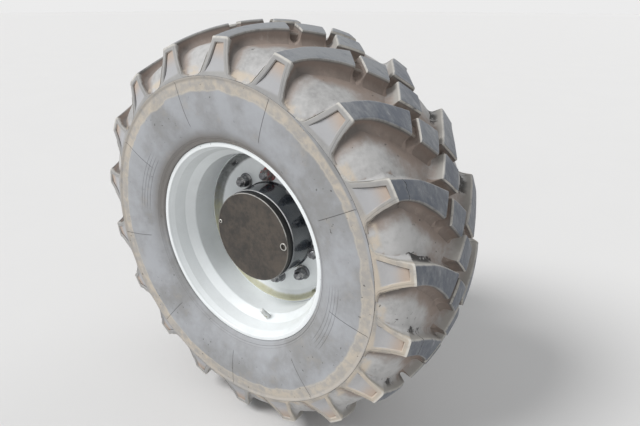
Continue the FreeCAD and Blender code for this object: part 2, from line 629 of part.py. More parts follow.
def joint_cross():
    core = JOINT_PIN_R + 6.0
    block = Part.makeBox(2 * core, 2 * core, 2 * core, V(-core, -core, -core))
    pins = [prism(JOINT_PIN_R, STUD_SIDES, axis * -JOINT_EAR_OUT, axis * JOINT_EAR_OUT)
            for axis in (X_AXIS, Z_AXIS)]
    return steering_axis(block.fuse(pins))


def save(name, solids):
    shape = Part.makeCompound(solids) if isinstance(solids, list) else solids
    shape.exportStep("parts/" + name + ".step")


def wheel_pieces():
    """Name and solids of what turns with the wheel, in the wheel's own frame."""
    return [
        ("tyre", tyre()),
        ("rim", rim()),
        ("wheel_disc", wheel_disc()),
        ("wheel_studs", Part.makeCompound(wheel_studs())),
        ("wheel_nuts", Part.makeCompound(wheel_nuts())),
        ("hub_drum", hub_drum()),
        ("hub_cap", hub_cap()),
        ("level_plug", level_plug()),
        ("valve_stem", valve_stem()),
    ]


def main():
    os.makedirs("parts", exist_ok=True)
    for name, shape in wheel_pieces():
        save(name, on_wheel(shape))
    save("axle_arm", axle_arm())
    save("half_shaft", joint_fork(X_AXIS, 1, ARM_LENGTH - SHAFT_SHORT))
    save("joint_cross", joint_cross())
    save("knuckle", knuckle())
    save("steering_lever", steering_lever())
    save("spindle", spindle())
    save("plate_bolts", plate_bolts())
    save("kingpins", kingpins())
    save("kingpin_bolts", kingpin_bolts())
    save("stop_screws", stop_screws())
    save("stub_yoke", joint_fork(Z_AXIS, -1, SHAFT_SHORT - PIN_INSET - SPINDLE_END))


main()
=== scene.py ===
import logging
import math
from dataclasses import dataclass
from enum import Enum
from functools import lru_cache
from typing import Any, Callable, Optional, Sequence, Union

import bmesh
import bpy
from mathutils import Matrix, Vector


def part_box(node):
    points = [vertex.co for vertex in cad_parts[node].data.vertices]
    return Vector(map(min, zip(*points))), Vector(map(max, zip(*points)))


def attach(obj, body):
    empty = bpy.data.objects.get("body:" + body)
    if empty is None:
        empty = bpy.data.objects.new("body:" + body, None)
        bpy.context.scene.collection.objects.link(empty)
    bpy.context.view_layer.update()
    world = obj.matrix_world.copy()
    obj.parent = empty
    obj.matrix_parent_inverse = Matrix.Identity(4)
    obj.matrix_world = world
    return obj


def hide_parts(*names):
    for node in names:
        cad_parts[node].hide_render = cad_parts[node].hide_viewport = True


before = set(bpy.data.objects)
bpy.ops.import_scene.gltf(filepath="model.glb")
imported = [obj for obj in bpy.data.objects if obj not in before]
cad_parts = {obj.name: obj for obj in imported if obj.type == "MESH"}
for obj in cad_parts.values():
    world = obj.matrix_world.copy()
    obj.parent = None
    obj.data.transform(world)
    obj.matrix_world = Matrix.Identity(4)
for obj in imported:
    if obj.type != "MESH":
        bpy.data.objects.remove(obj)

# A telehandler's steered wheel end in metres: +Z is up, the axle runs along Y and the
# wheel's outer side faces -Y. Radii and angles are taken about the axle, angles in
# degrees from +X towards +Z.

LOG = logging.getLogger("wheel_end")
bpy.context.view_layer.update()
MM = 0.001
# Vertices nearer than this are one
WELD = 2e-6
# Measures nearer than this are the same column or row of a tread bar
NEAR = 0.0003
# The wheel's middle plane, the ground under the tyre, and the way that the outer side faces
WHEEL_Y = sum(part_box("tyre"), Vector()).y / 2
FLOOR_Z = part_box("tyre")[0].z
FRONT = Vector((0, -1, 0))

Point = tuple[float, float]
Spot = tuple[float, float, float]
Colour = tuple[float, float, float]


class Side(Enum):
    """The two halves of the tread, with the sign that their y takes and their lag in degrees."""

    OUTER = (1.0, 0.0)
    INNER = (-1.0, -10.0)


def srgb(*values: int) -> Colour:
    """Linear colour from the three 0 to 255 values that a screen shows."""
    shares = (value / 255 for value in values)
    return tuple(share / 12.92 if share <= 0.04045 else ((share + 0.055) / 1.055) ** 2.4 for share in shares)


def outward(degrees: float) -> Vector:
    """Unit way out from the axle at an angle."""
    turn = math.radians(degrees)
    return Vector((math.cos(turn), 0, math.sin(turn)))


def on_axle(y: float) -> Vector:
    """Point of the axle at a y from the wheel's middle."""
    return Vector((0, WHEEL_Y + y, 0))


def smooth(low: float, high: float, value: float) -> float:
    """Smooth step from 0 at low to 1 at high."""
    share = min(1.0, max(0.0, (value - low) / (high - low)))
    return share * share * (3 - 2 * share)


def along(points: Sequence[Point], share: float) -> Point:
    """Point on a smooth curve through points.

    Args:
        points: what the curve goes through, at even steps of share.
        share: 0 at the first point and 1 at the last.
    Returns:
        The point, on a Catmull-Rom curve.
    """
    last = len(points) - 1
    index = min(int(share * last), last - 1)
    t = share * last - index
    corners = (points[min(max(n, 0), last)] for n in range(index - 1, index + 3))
    return tuple(0.5 * (2 * b + (c - a) * t + (2 * a - 5 * b + 4 * c - d) * t * t
                        + (3 * b - a - 3 * c + d) * t ** 3) for a, b, c, d in zip(*corners))


def table_value(table: Sequence[Point], key: float) -> float:
    """Value between the two entries of a rising table that a key lies between."""
    if key <= table[0][0]:
        return table[0][1]
    for (low, first), (high, second) in zip(table, table[1:]):
        if key <= high:
            return first + (second - first) * (key - low) / (high - low)
    return table[-1][1]


def rounded(corners: Sequence[Spot], steps: int = 4, closed: bool = True) -> list[Point]:
    """Outline with its corners rounded.

    Args:
        corners: (radius, y, corner radius) of each corner.
        steps: flats in each rounded corner.
        closed: whether the last corner joins the first.
    Returns:
        The points of the rounded outline.
    """
    result: list[Point] = []
    count = len(corners)
    for index, (r, y, size) in enumerate(corners):
        here = Vector((r, y))
        if size <= 0 or (not closed and index in (0, count - 1)):
            result.append((r, y))
            continue
        before = Vector(corners[index - 1][:2]) - here
        after = Vector(corners[(index + 1) % count][:2]) - here
        half = before.angle(after) / 2
        cut = min(size / math.tan(half), 0.49 * before.length, 0.49 * after.length)
        start, end = here + before.normalized() * cut, here + after.normalized() * cut
        for step in range(steps + 1):
            t = step / steps
            spot = start * (1 - t) ** 2 + here * (2 * t * (1 - t)) + end * t * t
            result.append((spot.x, spot.y))
    return result


class Draft:
    """Vertices, faces and per-vertex masks of one mesh, gathered before Blender gets them."""

    def __init__(self, *masks: str) -> None:
        """Start with nothing but the names of the masks."""
        self.points: list[Spot] = []
        self.faces: list[tuple[int, ...]] = []
        self.masks: dict[str, list[float]] = {name: [] for name in masks}

    def add(self, point: Sequence[float], *values: float) -> int:
        """Add a vertex with its masks' values and return its number."""
        self.points.append(tuple(point))
        for name, value in zip(self.masks, values):
            self.masks[name].append(value)
        return len(self.points) - 1

    def add_polar(self, radius: float, degrees: float, y: float, *values: float) -> int:
        """Add a vertex by its radius and angle about the axle and its y from the wheel's middle."""
        angle = math.radians(degrees)
        return self.add((radius * math.cos(angle), WHEEL_Y + y, radius * math.sin(angle)), *values)

    def skin(self, rows: Sequence[Sequence[int]], closed: bool = False, flip: bool = False) -> None:
        """Quads between rows of vertices.

        Args:
            rows: numbers of the vertices, each row as long as the next.
            closed: whether each row's end joins its start.
            flip: turn the faces over.
        """
        for upper, lower in zip(rows, rows[1:]):
            last = len(upper) if closed else len(upper) - 1
            for i in range(last):
                j = (i + 1) % len(upper)
                ring = (upper[i], upper[j], lower[j], lower[i])
                face = tuple(dict.fromkeys(reversed(ring) if flip else ring))
                if len(face) > 2:
                    self.faces.append(face)

    def fan(self, ring: Sequence[int], flip: bool = False) -> None:
        """Close a ring of vertices with triangles from its last one."""
        for first, second in zip(ring[:-1], ring[1:-1]):
            self.faces.append((ring[-1], second, first) if flip else (ring[-1], first, second))

    def turned(self, profile: Sequence[Point], segments: int, closed: bool = True,
               masks: Callable[[float, float, float], tuple[float, ...]] = lambda r, y, turn: ()) -> None:
        """Skin of a section turned about the axle.

        Args:
            profile: (radius, y) corners.
            segments: flats in a turn.
            closed: whether the section's end joins its start.
            masks: gives a vertex's masks from its radius, y and angle in degrees.
        """
        columns = []
        turns = [360 * i / segments for i in range(segments)]
        for r, y in profile:
            if r < WELD:
                columns.append([self.add((0, WHEEL_Y + y, 0), *masks(r, y, 0.0))] * segments)
            else:
                columns.append([self.add_polar(r, turn, y, *masks(r, y, turn)) for turn in turns])
        if closed:
            columns.append(columns[0])
        self.skin(columns, closed=True)

    def place(self, other: "Draft", origin: Vector, x_axis: Vector, z_axis: Vector) -> None:
        """Add another draft, turned so that its Z lies along z_axis and its X along x_axis."""
        y_axis = z_axis.cross(x_axis)
        base = len(self.points)
        for index, (x, y, z) in enumerate(other.points):
            values = [other.masks[name][index] for name in self.masks]
            self.add(origin + x_axis * x + y_axis * y + z_axis * z, *values)
        self.faces += [tuple(base + n for n in face) for face in other.faces]

    def build(self, name: str, sharp: float = 35.0) -> bpy.types.Object:
        """Make the Blender object.

        Args:
            name: the piece's name.
            sharp: edges that turn by more than this many degrees are drawn crisp.
        Returns:
            The object, in the scene.
        """
        mesh = bpy.data.meshes.new(name)
        mesh.from_pydata(self.points, [], self.faces)
        for mask, values in self.masks.items():
            mesh.attributes.new(mask, "FLOAT", "POINT").data.foreach_set("value", values)
        welded = bmesh.new()
        welded.from_mesh(mesh)
        bmesh.ops.remove_doubles(welded, verts=welded.verts, dist=WELD)
        welded.to_mesh(mesh)
        welded.free()
        mesh.validate()
        mesh.shade_smooth()
        mesh.set_sharp_from_angle(angle=math.radians(sharp))
        made = bpy.data.objects.new(name, mesh)
        bpy.context.scene.collection.objects.link(made)
        return made


def maths(operation: str, swapped: bool = False) -> Callable[["Sock", "Value"], "Sock"]:
    """Method of Sock that puts its value and another one through a Math node.

    Args:
        operation: what the node does.
        swapped: whether the other value comes first.
    Returns:
        The method.
    """
    def method(self: "Sock", other: "Value") -> "Sock":
        """The node's output."""
        return self.graph.math(operation, *((other, self) if swapped else (self, other)))
    return method


class Sock:
    """An output of a shader node that does its maths with Python's operators."""

    __add__ = __radd__ = maths("ADD")
    __mul__ = __rmul__ = maths("MULTIPLY")
    __sub__ = maths("SUBTRACT")
    __rsub__ = maths("SUBTRACT", swapped=True)
    __pow__ = maths("POWER")
    # The smaller and the larger of two values
    within = maths("MINIMUM")
    over = maths("MAXIMUM")

    def __init__(self, graph: "Graph", socket: bpy.types.NodeSocket) -> None:
        """Keep the socket and the graph that it is in."""
        self.graph = graph
        self.socket = socket

    def __abs__(self) -> "Sock":
        """The value without its sign."""
        return self.graph.math("ABSOLUTE", self)

    def sway(self, share: float) -> "Sock":
        """A noise about its middle, times a share."""
        return (self - 0.5) * share

    def step(self, low: float, high: float) -> "Sock":
        """Smooth step from 0 at low to 1 at high, which may be the smaller one."""
        if low >= high:
            return 1 - self.step(high, low)
        kind = {"interpolation_type": "SMOOTHSTEP"}
        return self.graph.node("ShaderNodeMapRange", kind, {"Value": self, "From Min": low, "From Max": high})

    def band(self, low: float, high: float, soft: float) -> "Sock":
        """1 between low and high, fading over soft at both ends."""
        return self.step(low - soft, low + soft) * self.step(high + soft, high - soft)


Value = Union[Sock, float]


class Graph:
    """The node tree of one material."""

    def __init__(self, name: str) -> None:
        """Make a material with an empty tree."""
        self.material = bpy.data.materials.new(name)
        self.material.use_nodes = True
        self.tree = self.material.node_tree
        self.tree.nodes.clear()

    def node(self, kind: str, settings: dict[str, Any], inputs: dict[Any, Any], out: Any = 0) -> Sock:
        """Add a node.

        Args:
            kind: Blender's name of the node's type.
            settings: what is set on the node first.
            inputs: values or links by socket name or number.
            out: name or number of the output that is wanted.
        Returns:
            That output.
        """
        made = self.tree.nodes.new(kind)
        for key, value in settings.items():
            setattr(made, key, value)
        for key, value in inputs.items():
            socket = made.inputs[key]
            if isinstance(value, Sock):
                self.tree.links.new(value.socket, socket)
            else:
                socket.default_value = (*value, 1.0) if socket.type == "RGBA" else value
        return Sock(self, made.outputs[out])

    def math(self, operation: str, *values: Value) -> Sock:
        """A Math node on one or two values."""
        return self.node("ShaderNodeMath", {"operation": operation}, dict(enumerate(values)))

    def mix(self, share: Value, first: Any, second: Any) -> Sock:
        """Colour between two colours."""
        return self.node("ShaderNodeMix", {"data_type": "RGBA"}, {0: share, 6: first, 7: second}, 2)

    def coats(self, base: Any, *coats: tuple[Value, Any]) -> Any:
        """A colour with coats over it, each a share and a colour."""
        for share, colour in coats:
            base = self.mix(share, base, colour)
        return base

    def place(self) -> Sock:
        """Place on the piece, in the object's own frame."""
        return self.node("ShaderNodeTexCoord", {}, {}, "Object")

    def parts(self, vector: Optional[Sock] = None) -> tuple[Sock, Sock, Sock]:
        """The three parts of a vector, or of the place on the piece."""
        first = self.node("ShaderNodeSeparateXYZ", {}, {0: vector or self.place()}, "X")
        outputs = first.socket.node.outputs
        return first, Sock(self, outputs["Y"]), Sock(self, outputs["Z"])

    def y(self) -> Sock:
        """y from the wheel's middle."""
        return self.parts()[1] - WHEEL_Y

    def radius(self) -> Sock:
        """Distance from the axle."""
        x, _, z = self.parts()
        return (x * x + z * z) ** 0.5

    def turn(self) -> Sock:
        """Degrees about the axle, from +X towards +Z."""
        x, _, z = self.parts()
        return self.math("ARCTAN2", z, x) * (180.0 / math.pi)

    def noise(self, scale: float, detail: float, rough: float = 0.55, stretch: Optional[Spot] = None) -> Sock:
        """Noise from 0 to 1.

        Args:
            scale: waves in a metre.
            detail: octaves.
            rough: share of the finer octaves.
            stretch: optional scale of each axis.
        Returns:
            The noise's value.
        """
        vector = self.place()
        if stretch is not None:
            vector = self.node("ShaderNodeVectorMath", {"operation": "MULTIPLY"}, {0: vector, 1: stretch})
        return self.node("ShaderNodeTexNoise", {}, {"Vector": vector, "Scale": scale, "Detail": detail,
                                                    "Roughness": rough}, "Fac")

    def noises(self, *settings: Sequence[Any]) -> list[Sock]:
        """A noise for each set of noise's arguments."""
        return [self.noise(*each) for each in settings]

    def rings(self, scale: float) -> Sock:
        """Noise in rings round the axle, by its waves in a metre."""
        return self.node("ShaderNodeTexNoise", {"noise_dimensions": "1D"},
                         {"W": self.radius(), "Scale": scale, "Detail": 2.0}, "Fac")

    def masks(self, *names: str) -> list[Sock]:
        """Masks that the mesh carries."""
        return [self.node("ShaderNodeAttribute", {"attribute_name": name}, {}, "Fac") for name in names]

    def bump(self, height: Sock, distance: float, strength: float, **under: Sock) -> Sock:
        """Normal from a height in units of distance, over the one given as Normal, if there is one."""
        inputs = {"Height": height, "Distance": distance, "Strength": strength, **under}
        return self.node("ShaderNodeBump", {}, inputs, "Normal")

    def rubbed(self) -> Sock:
        """The rubbed edges that the mesh carries, with a painted highlight that makes them brightest along
        the hub's upper arc.
        """
        return self.masks("edge")[0] * (self.turn().band(14, 118, 10) * 0.75 + 0.25)

    def surface(self, colour: Any, rough: Value, **inputs: Any) -> bpy.types.Material:
        """Finish the material with a Principled shader.

        Args:
            colour: its base colour.
            rough: its roughness.
            inputs: its other inputs, with underscores for the spaces in their names.
        Returns:
            The material.
        """
        named = {key.replace("_", " "): value for key, value in inputs.items()}
        named |= {"Base Color": colour, "Roughness": rough}
        shader = self.node("ShaderNodeBsdfPrincipled", {}, named)
        output = self.tree.nodes.new("ShaderNodeOutputMaterial")
        self.tree.links.new(shader.socket, output.inputs["Surface"])
        return self.material


class Finish:
    """A finish that is painted once and then shared by its pieces."""

    slot: str = ""

    def paint(self, graph: Graph) -> bpy.types.Material:
        """Build the nodes."""
        raise NotImplementedError

    @lru_cache(maxsize=None)
    def material(self) -> bpy.types.Material:
        """The material, made at the first call."""
        return self.paint(Graph(type(self).__name__))

    def dress(self, piece: bpy.types.Object) -> None:
        """Give a piece this finish."""
        if piece.material_slots:
            for material_slot in piece.material_slots:
                material_slot.material = self.material()
        else:
            piece.data.materials.append(self.material())


@dataclass(frozen=True)
class Crack:
    """A dry crack across a lug's top, from one (degrees, y) to another."""

    start: Point
    end: Point
    wide: float = 0.0011
    wander: float = 0.014

    def mask(self, graph: Graph) -> Sock:
        """1 on the crack."""
        turn = graph.turn()
        slope = (self.end[1] - self.start[1]) / (self.end[0] - self.start[0])
        line = (turn - self.start[0]) * slope + self.start[1] + graph.noise(70, 3).sway(self.wander)
        low, high = sorted((self.start[0], self.end[0]))
        return abs(graph.y() - line).step(self.wide, self.wide * 0.4) * turn.band(low, high, 0.15)


@dataclass(frozen=True)
class Rubber(Finish):
    """Dusty tyre rubber: what the valleys' floor and the bars' feet share."""

    floor: Colour = srgb(182, 181, 180)
    floor_grey: Colour = srgb(140, 139, 138)
    brown: Colour = srgb(136, 121, 111)
    deep: Colour = srgb(92, 84, 78)
    shadow: Colour = srgb(86, 84, 82)
    cream: Colour = srgb(194, 181, 163)
    soot: Colour = srgb(40, 38, 36)
    slot: str = "tyre_rubber"

    def ground(self, graph: Graph) -> Sock:
        """Light floor that turns brown and dark under each lug and towards the tread's middle."""
        shade, crest = graph.masks("shade", "crest")
        patches, streaks, grain = graph.noises((7, 5), (18, 6, 0.65), (60, 6, 0.62))
        y = abs(graph.y())
        rust = shade * 0.62 + y.step(0.185, 0.075) * 0.42 + streaks.sway(0.75)
        dark = (shade + patches.sway(0.4)).step(0.72, 1.08) * y.step(0.125, 0.185)
        near = graph.radius().band(0.474, 0.496, 0.006) * (streaks * 0.9 + patches * 0.3).step(0.54, 0.68)
        tar = crest * 0.6 + graph.noise(9, 7, 0.7) * 0.9 + y.band(0.105, 0.185, 0.04) * 0.3
        tar += streaks.sway(0.2)
        return graph.coats(
            self.floor,
            ((patches * 0.8 + grain * 0.45 - 0.05).step(0.46, 0.86), self.floor_grey),
            (rust.step(0.12, 0.62) * 0.9, self.brown),
            ((rust + grain.sway(0.4)).step(0.62, 1.1) * 0.5, self.deep),
            (dark * 0.85, self.shadow),
            (near * 0.75, self.cream),
            (tar.step(1.315, 1.375) * 0.9, self.soot))


@dataclass(frozen=True)
class LugRubber(Rubber):
    """Worn tyre rubber: slate tops, lighter near the wheel's top with dust and painted light, dusty end faces
    with tan pockets, walls dark with painted shade on their trailing side, and pale rubbed edges.
    """

    top: Colour = srgb(89, 94, 103)
    top_dusty: Colour = srgb(140, 142, 144)
    face: Colour = srgb(160, 158, 155)
    pocket: Colour = srgb(174, 157, 143)
    pocket_low: Colour = srgb(166, 166, 168)
    # Painted shade for the trailing walls just under the top edge
    wall_painted_shade: Colour = srgb(84, 82, 80)
    wall_brown: Colour = srgb(118, 105, 97)
    wall_pale: Colour = srgb(158, 155, 150)
    edge: Colour = srgb(200, 197, 190)
    # Painted shade for the pocket's foot and the frame's fine groove
    slit_shade: Colour = srgb(58, 55, 52)
    gap: Colour = srgb(24, 23, 22)
    cracks: tuple[Crack, ...] = (Crack((31.2, -0.165), (24.4, -0.174)),
                                 Crack((-9.0, -0.150), (-15.0, -0.158)))

    def paint(self, graph: Graph) -> bpy.types.Material:
        """Mix the colours by the mesh's masks and noise."""
        valley, worn, groove, shade = graph.masks("valley", "worn", "groove", "shade")
        face, recess = graph.masks("face", "recess")
        patches, grain, grit = graph.noises((7, 5), (55, 6, 0.62), (420, 3))
        scuffs = graph.noise(26, 7, 0.7, (1.0, 2.6, 1.0))
        # Lug tops near the wheel's top lighter: partly dust, partly painted light from above
        up_dust_and_light = graph.parts()[2].step(0.42, 0.60) * 0.20
        # Trailing walls: painted shade under the top edge over brown dust lower down; leading walls pale with
        # dust
        under = graph.mix((valley + patches.sway(0.5)).step(0.12, 0.4), self.wall_painted_shade, self.wall_brown)
        wall = graph.mix((shade + grain.sway(0.5)).step(0.1, 0.6), self.wall_pale, under)
        tan = face * graph.turn().band(-75, 26, 12) * (patches * 0.7 + scuffs * 0.5).step(0.38, 0.66)
        low = (graph.radius() + scuffs.sway(0.02)).step(0.548, 0.505)
        # Painted shade at the foot of the pocket's leading and top walls and in the trailing frame's fine
        # groove
        line = groove.step(0.5, 0.85) * (1.15 - shade * 0.55).within(1.0) * 0.85
        rubbed = worn.step(0.1, 0.9) * (grain * 0.7 + scuffs * 0.6).step(0.40, 0.70)
        first, second = (crack.mask(graph) for crack in self.cracks)
        cracks = first.over(second)
        base = graph.coats(
            self.top,
            ((patches * 0.6 + scuffs * 0.7 + up_dust_and_light).step(0.52, 0.86) * 0.8, self.top_dusty),
            (valley.step(0.02, 0.12), wall),
            ((valley + scuffs.sway(0.3)).step(0.35, 0.85), self.ground(graph)),
            (face * (patches * 0.45 + grain * 0.3 + 0.4).within(1.0), self.face),
            (tan * 0.75, self.cream),
            (recess.step(0.3, 0.9) * 0.9, graph.mix(low, self.pocket, self.pocket_low)),
            (line * (grain * 0.8 + 0.5).within(1.0), self.slit_shade),
            (scuffs.step(0.58, 0.78) * 0.35, self.floor),
            (rubbed * 0.9, self.edge),
            (cracks * 0.95, self.gap))
        fine = graph.bump(grit * 0.4 + grain * 0.8 - cracks - line, 1.2 * MM, 0.7)
        return graph.surface(base, 0.56 + valley * 0.3 + face * 0.2 + scuffs * 0.1, Specular_IOR_Level=0.45,
                             Normal=graph.bump(scuffs.step(0.35, 0.8), 0.9 * MM, 0.5, Normal=fine))


@dataclass(frozen=True)
class WallRubber(Rubber):
    """Side wall rubber with moulded lines, a cream band of dust under the ridge and dusty valleys."""

    wall: Colour = srgb(160, 162, 166)
    wall_warm: Colour = srgb(134, 134, 134)
    dark: Colour = srgb(66, 65, 64)
    near_rim: Colour = srgb(118, 112, 105)
    band: Colour = srgb(186, 175, 159)
    band_grey: Colour = srgb(158, 154, 149)
    band_edge: Colour = srgb(200, 191, 175)
    lines: int = 9
    line_phase: float = 28.0
    # Radii between which the cream band begins, turns ragged and ends at the ridge
    band_foot: Point = (0.4315, 0.4410)
    band_ragged: Point = (0.4790, 0.4730)
    band_end: Point = (0.4738, 0.4724)
    # Radii between which the radial lines, the ridge, the fine ribs and the bead's two rings lie
    line_reach: Point = (0.350, 0.470)
    ridge: Point = (0.4728, 0.4742)
    rib_reach: Point = (0.3335, 0.3770)
    rib_gap: float = 0.005
    bead_rings: tuple[Point, Point] = ((0.3088, 0.3100), (0.3150, 0.3160))

    def paint(self, graph: Graph) -> bpy.types.Material:
        """The side wall inside the ridge, the valleys' floor outside it."""
        (valley,), radius = graph.masks("valley"), graph.radius()
        x, _, z = graph.parts()
        patches, grain, grit, streaks = graph.noises((5, 5, 0.6), (48, 6, 0.6), (420, 3), (16, 6, 0.65))
        lines, ribs = self.moulded_lines(graph, radius), self.ribs(graph, radius)
        # Darker towards the rim, most towards the top left
        near_rim_share = (radius + streaks.sway(0.035) + patches.sway(0.05)).step(0.338, 0.306)
        right = (x + z * 0.35).step(0.32, 0.46)
        wander = radius + streaks.sway(0.030) + patches.sway(0.016) - right * 0.004
        ragged = radius + patches.sway(0.02) + right * z.step(0.02, 0.09) * 0.013
        cream = wander.step(*self.band_foot) * ragged.step(*self.band_ragged) * radius.step(*self.band_end)
        mottle = (grain * 0.6 + streaks * 0.6).step(0.46, 0.72)
        tone = graph.mix(mottle.over(radius.step(0.450, 0.472) * 0.65), self.band, self.band_grey)
        specks = graph.noise(90, 3, 0.5).step(0.69, 0.715) * patches.step(0.44, 0.56)
        base = graph.coats(
            self.wall,
            ((patches + streaks.sway(0.4)).step(0.36, 0.68), self.wall_warm),
            # Darker band next to the rim
            (near_rim_share * ((z - x * 0.5).step(0.03, 0.24) * 0.65 + 0.12), self.near_rim),
            ((streaks + grain.sway(0.4)).step(0.56, 0.76) * 0.16, self.band),
            (cream * 0.85, tone),
            (wander.band(0.4350, 0.4390, 0.0015) * cream * 0.4, self.band_edge),
            (valley, self.ground(graph)),
            (lines * 0.75, self.dark),
            (ribs * 0.42, self.dark),
            (specks * 0.75, self.dark))
        height = grit * 0.25 + grain * 0.45 - lines * 1.2 + cream * grit * 0.3 - ribs * 0.8
        return graph.surface(base, 0.60 + valley * 0.18 + cream * 0.2, Specular_IOR_Level=0.4,
                             Normal=graph.bump(height, 0.9 * MM, 0.7))

    def moulded_lines(self, graph: Graph, radius: Sock) -> Sock:
        """Radial lines across the wall and a ring at the ridge."""
        steps = (graph.turn() - self.line_phase) * (self.lines / 360.0)
        near = graph.math("PINGPONG", steps, 0.5) * radius * (2 * math.pi / self.lines)
        radial = near.step(0.0013, 0.0004) * radius.band(*self.line_reach, 0.004)
        return radial.over(radius.band(*self.ridge, 0.0006))

    def ribs(self, graph: Graph, radius: Sock) -> Sock:
        """Fine rings on two stretches of the wall, and two round the bead."""
        turn = graph.turn()
        stretches = turn.band(142, 172, 3).over(turn.band(-32, -1, 3))
        fine = graph.math("PINGPONG", radius - 0.330, self.rib_gap).step(0.0012, 0.0003)
        first, second = (radius.band(*ring, 0.0006) for ring in self.bead_rings)
        return (fine * radius.band(*self.rib_reach, 0.0005) * stretches).over(first.over(second * 0.6))


@dataclass(frozen=True)
class RimPaint(Finish):
    """Pale gloss paint with orange peel, and dirt in the corner round the disc, painted dark with shade at
    the top and pale with light at the bottom.
    """

    colour: Colour = srgb(230, 234, 235)
    # The corner's dirt, in painted shade and in painted light
    dirt_in_shade: Colour = srgb(24, 25, 19)
    dirt_in_light: Colour = srgb(180, 177, 140)
    grime: Colour = srgb(150, 150, 146)
    chip: Colour = srgb(84, 78, 70)
    slot: str = "rim_paint"
    # Radii between which the dirt begins and ends, and the lip's chips begin
    dirt_inner: Point = (0.2170, 0.2255)
    dirt_outer: Point = (0.2475, 0.2435)
    lip: Point = (0.2895, 0.2965)

    def paint(self, graph: Graph) -> bpy.types.Material:
        """Mix dirt into the corner, with painted shade at the top and painted light at the bottom, and thin
        grime over the rest.
        """
        radius, z = graph.radius(), graph.parts()[2]
        cloud, fine, peel = graph.noises((9, 6, 0.65), (60, 6, 0.7), (160, 2))
        inner = (radius + cloud.sway(0.012) + z.within(0.0) * 0.045).step(*self.dirt_inner)
        soiled = inner * radius.step(*self.dirt_outer) * (fine * 0.5 + cloud * 0.3 + 0.45).within(1.0)
        # Share of the paler dirt: painted light towards the bottom, painted shade towards the top
        pale = (z * -2.2 + 0.38 + cloud * 0.5 + fine.sway(0.3)).step(0.35, 0.85)
        chips = radius.step(*self.lip) * graph.noise(130, 4, 0.6).step(0.66, 0.69)
        specks = fine.step(0.67, 0.74)
        base = graph.coats(
            self.colour,
            (cloud.step(0.35, 0.8) * 0.16, self.grime),
            (soiled * 0.9, graph.mix(pale, self.dirt_in_shade, self.dirt_in_light)),
            (chips * 0.8, self.chip),
            (specks * 0.35, self.grime))
        return graph.surface(base, 0.3 + soiled * 0.6 + specks * 0.1 + cloud * 0.1,
                             Normal=graph.bump(peel, 0.25 * MM, 0.35), Coat_Weight=0.35 - soiled * 0.35,
                             Coat_Roughness=0.18)


@dataclass(frozen=True)
class DrumPaint(Finish):
    """Black gloss paint with a film of dust."""

    colour: Colour = srgb(38, 43, 50)
    dust: Colour = srgb(112, 116, 120)
    bare: Colour = srgb(186, 186, 186)
    slot: str = "drum_paint"

    def paint(self, graph: Graph) -> bpy.types.Material:
        """Dust in clouds and specks over gloss."""
        cloud, fine, peel = graph.noises((14, 6, 0.65), (110, 6, 0.7), (130, 2))
        film = cloud.step(0.45, 0.8) * 0.16 + fine.step(0.62, 0.74) * 0.25
        # Rubbed bare edges, brightest along the upper arc as a painted highlight
        edge = graph.rubbed() * (fine * 0.9 + cloud * 0.6).step(0.40, 0.75)
        base = graph.coats(self.colour, (film, self.dust), (edge, self.bare))
        return graph.surface(base, 0.18 + film * 0.7, Normal=graph.bump(peel, 0.2 * MM, 0.25),
                             Specular_IOR_Level=0.9, Coat_Weight=0.5, Coat_Roughness=0.08)


@dataclass(frozen=True)
class CapPaint(Finish):
    """Matt black paint on a sand-cast face, rubbed brown."""

    colour: Colour = srgb(50, 46, 42)
    rubbed: Colour = srgb(82, 74, 66)
    oil: Colour = srgb(30, 29, 28)
    speck: Colour = srgb(132, 124, 112)
    # Near black for the cap's side: painted shade in the gap next to the drum
    side: Colour = srgb(24, 25, 27)
    bare: Colour = srgb(188, 186, 182)
    front: float = 0.122
    slot: str = "cap_paint"

    def paint(self, graph: Graph) -> bpy.types.Material:
        """Cast grain with rubbed patches."""
        cloud, fine, grain, stains = graph.noises((17, 6, 0.65), (95, 6, 0.7), (520, 3), (9, 5, 0.7))
        wear = (cloud * 0.7 + fine * 0.5).step(0.48, 0.72)
        streaks = graph.noise(60, 4, 0.6, (1.0, 1.0, 0.12)).step(0.5, 0.75)
        # Rubbed bare edges, brightest along the upper arc as a painted highlight
        edge = graph.rubbed() * (fine * 0.9 + cloud * 0.6).step(0.45, 0.8)
        base = graph.coats(
            self.colour,
            (wear * 0.8, self.rubbed),
            (stains.step(0.52, 0.7) * 0.45, self.oil),
            (streaks * 0.25, self.rubbed),
            (fine.step(0.68, 0.76) * 0.4, self.speck),
            # The cap's side painted near black: painted shade in the gap next to the drum
            ((graph.y() + self.front).step(0.0016, 0.0034) * 0.85, self.side),
            (edge, self.bare))
        return graph.surface(base, 0.5 + wear * 0.2 - edge * 0.2, Metallic=edge * 0.8,
                             Normal=graph.bump(grain * 0.7 + fine * 0.5, 0.6 * MM, 0.5))


@dataclass(frozen=True)
class NutSteel(Finish):
    """Dark phosphated steel with dull bright corners."""

    colour: Colour = srgb(112, 113, 116)
    bright: Colour = srgb(206, 205, 202)
    rust: Colour = srgb(104, 88, 74)
    edge: Colour = srgb(222, 220, 214)
    slot: str = "nut_steel"

    def paint(self, graph: Graph) -> bpy.types.Material:
        """Blotches of bright metal and rust dust."""
        (edge,), (cloud, fine) = graph.masks("edge"), graph.noises((60, 5, 0.6), (600, 4, 0.6))
        base = graph.coats(
            self.colour,
            ((cloud * 0.7 + fine * 0.4).step(0.5, 0.72) * 0.75, self.bright),
            (cloud.step(0.62, 0.75) * 0.3, self.rust),
            (edge * (cloud * 1.6).within(1.0), self.edge))
        normal = graph.bump(fine, 0.15 * MM, 0.25)
        return graph.surface(base, 0.26 + cloud * 0.2, Metallic=0.75, Normal=normal)


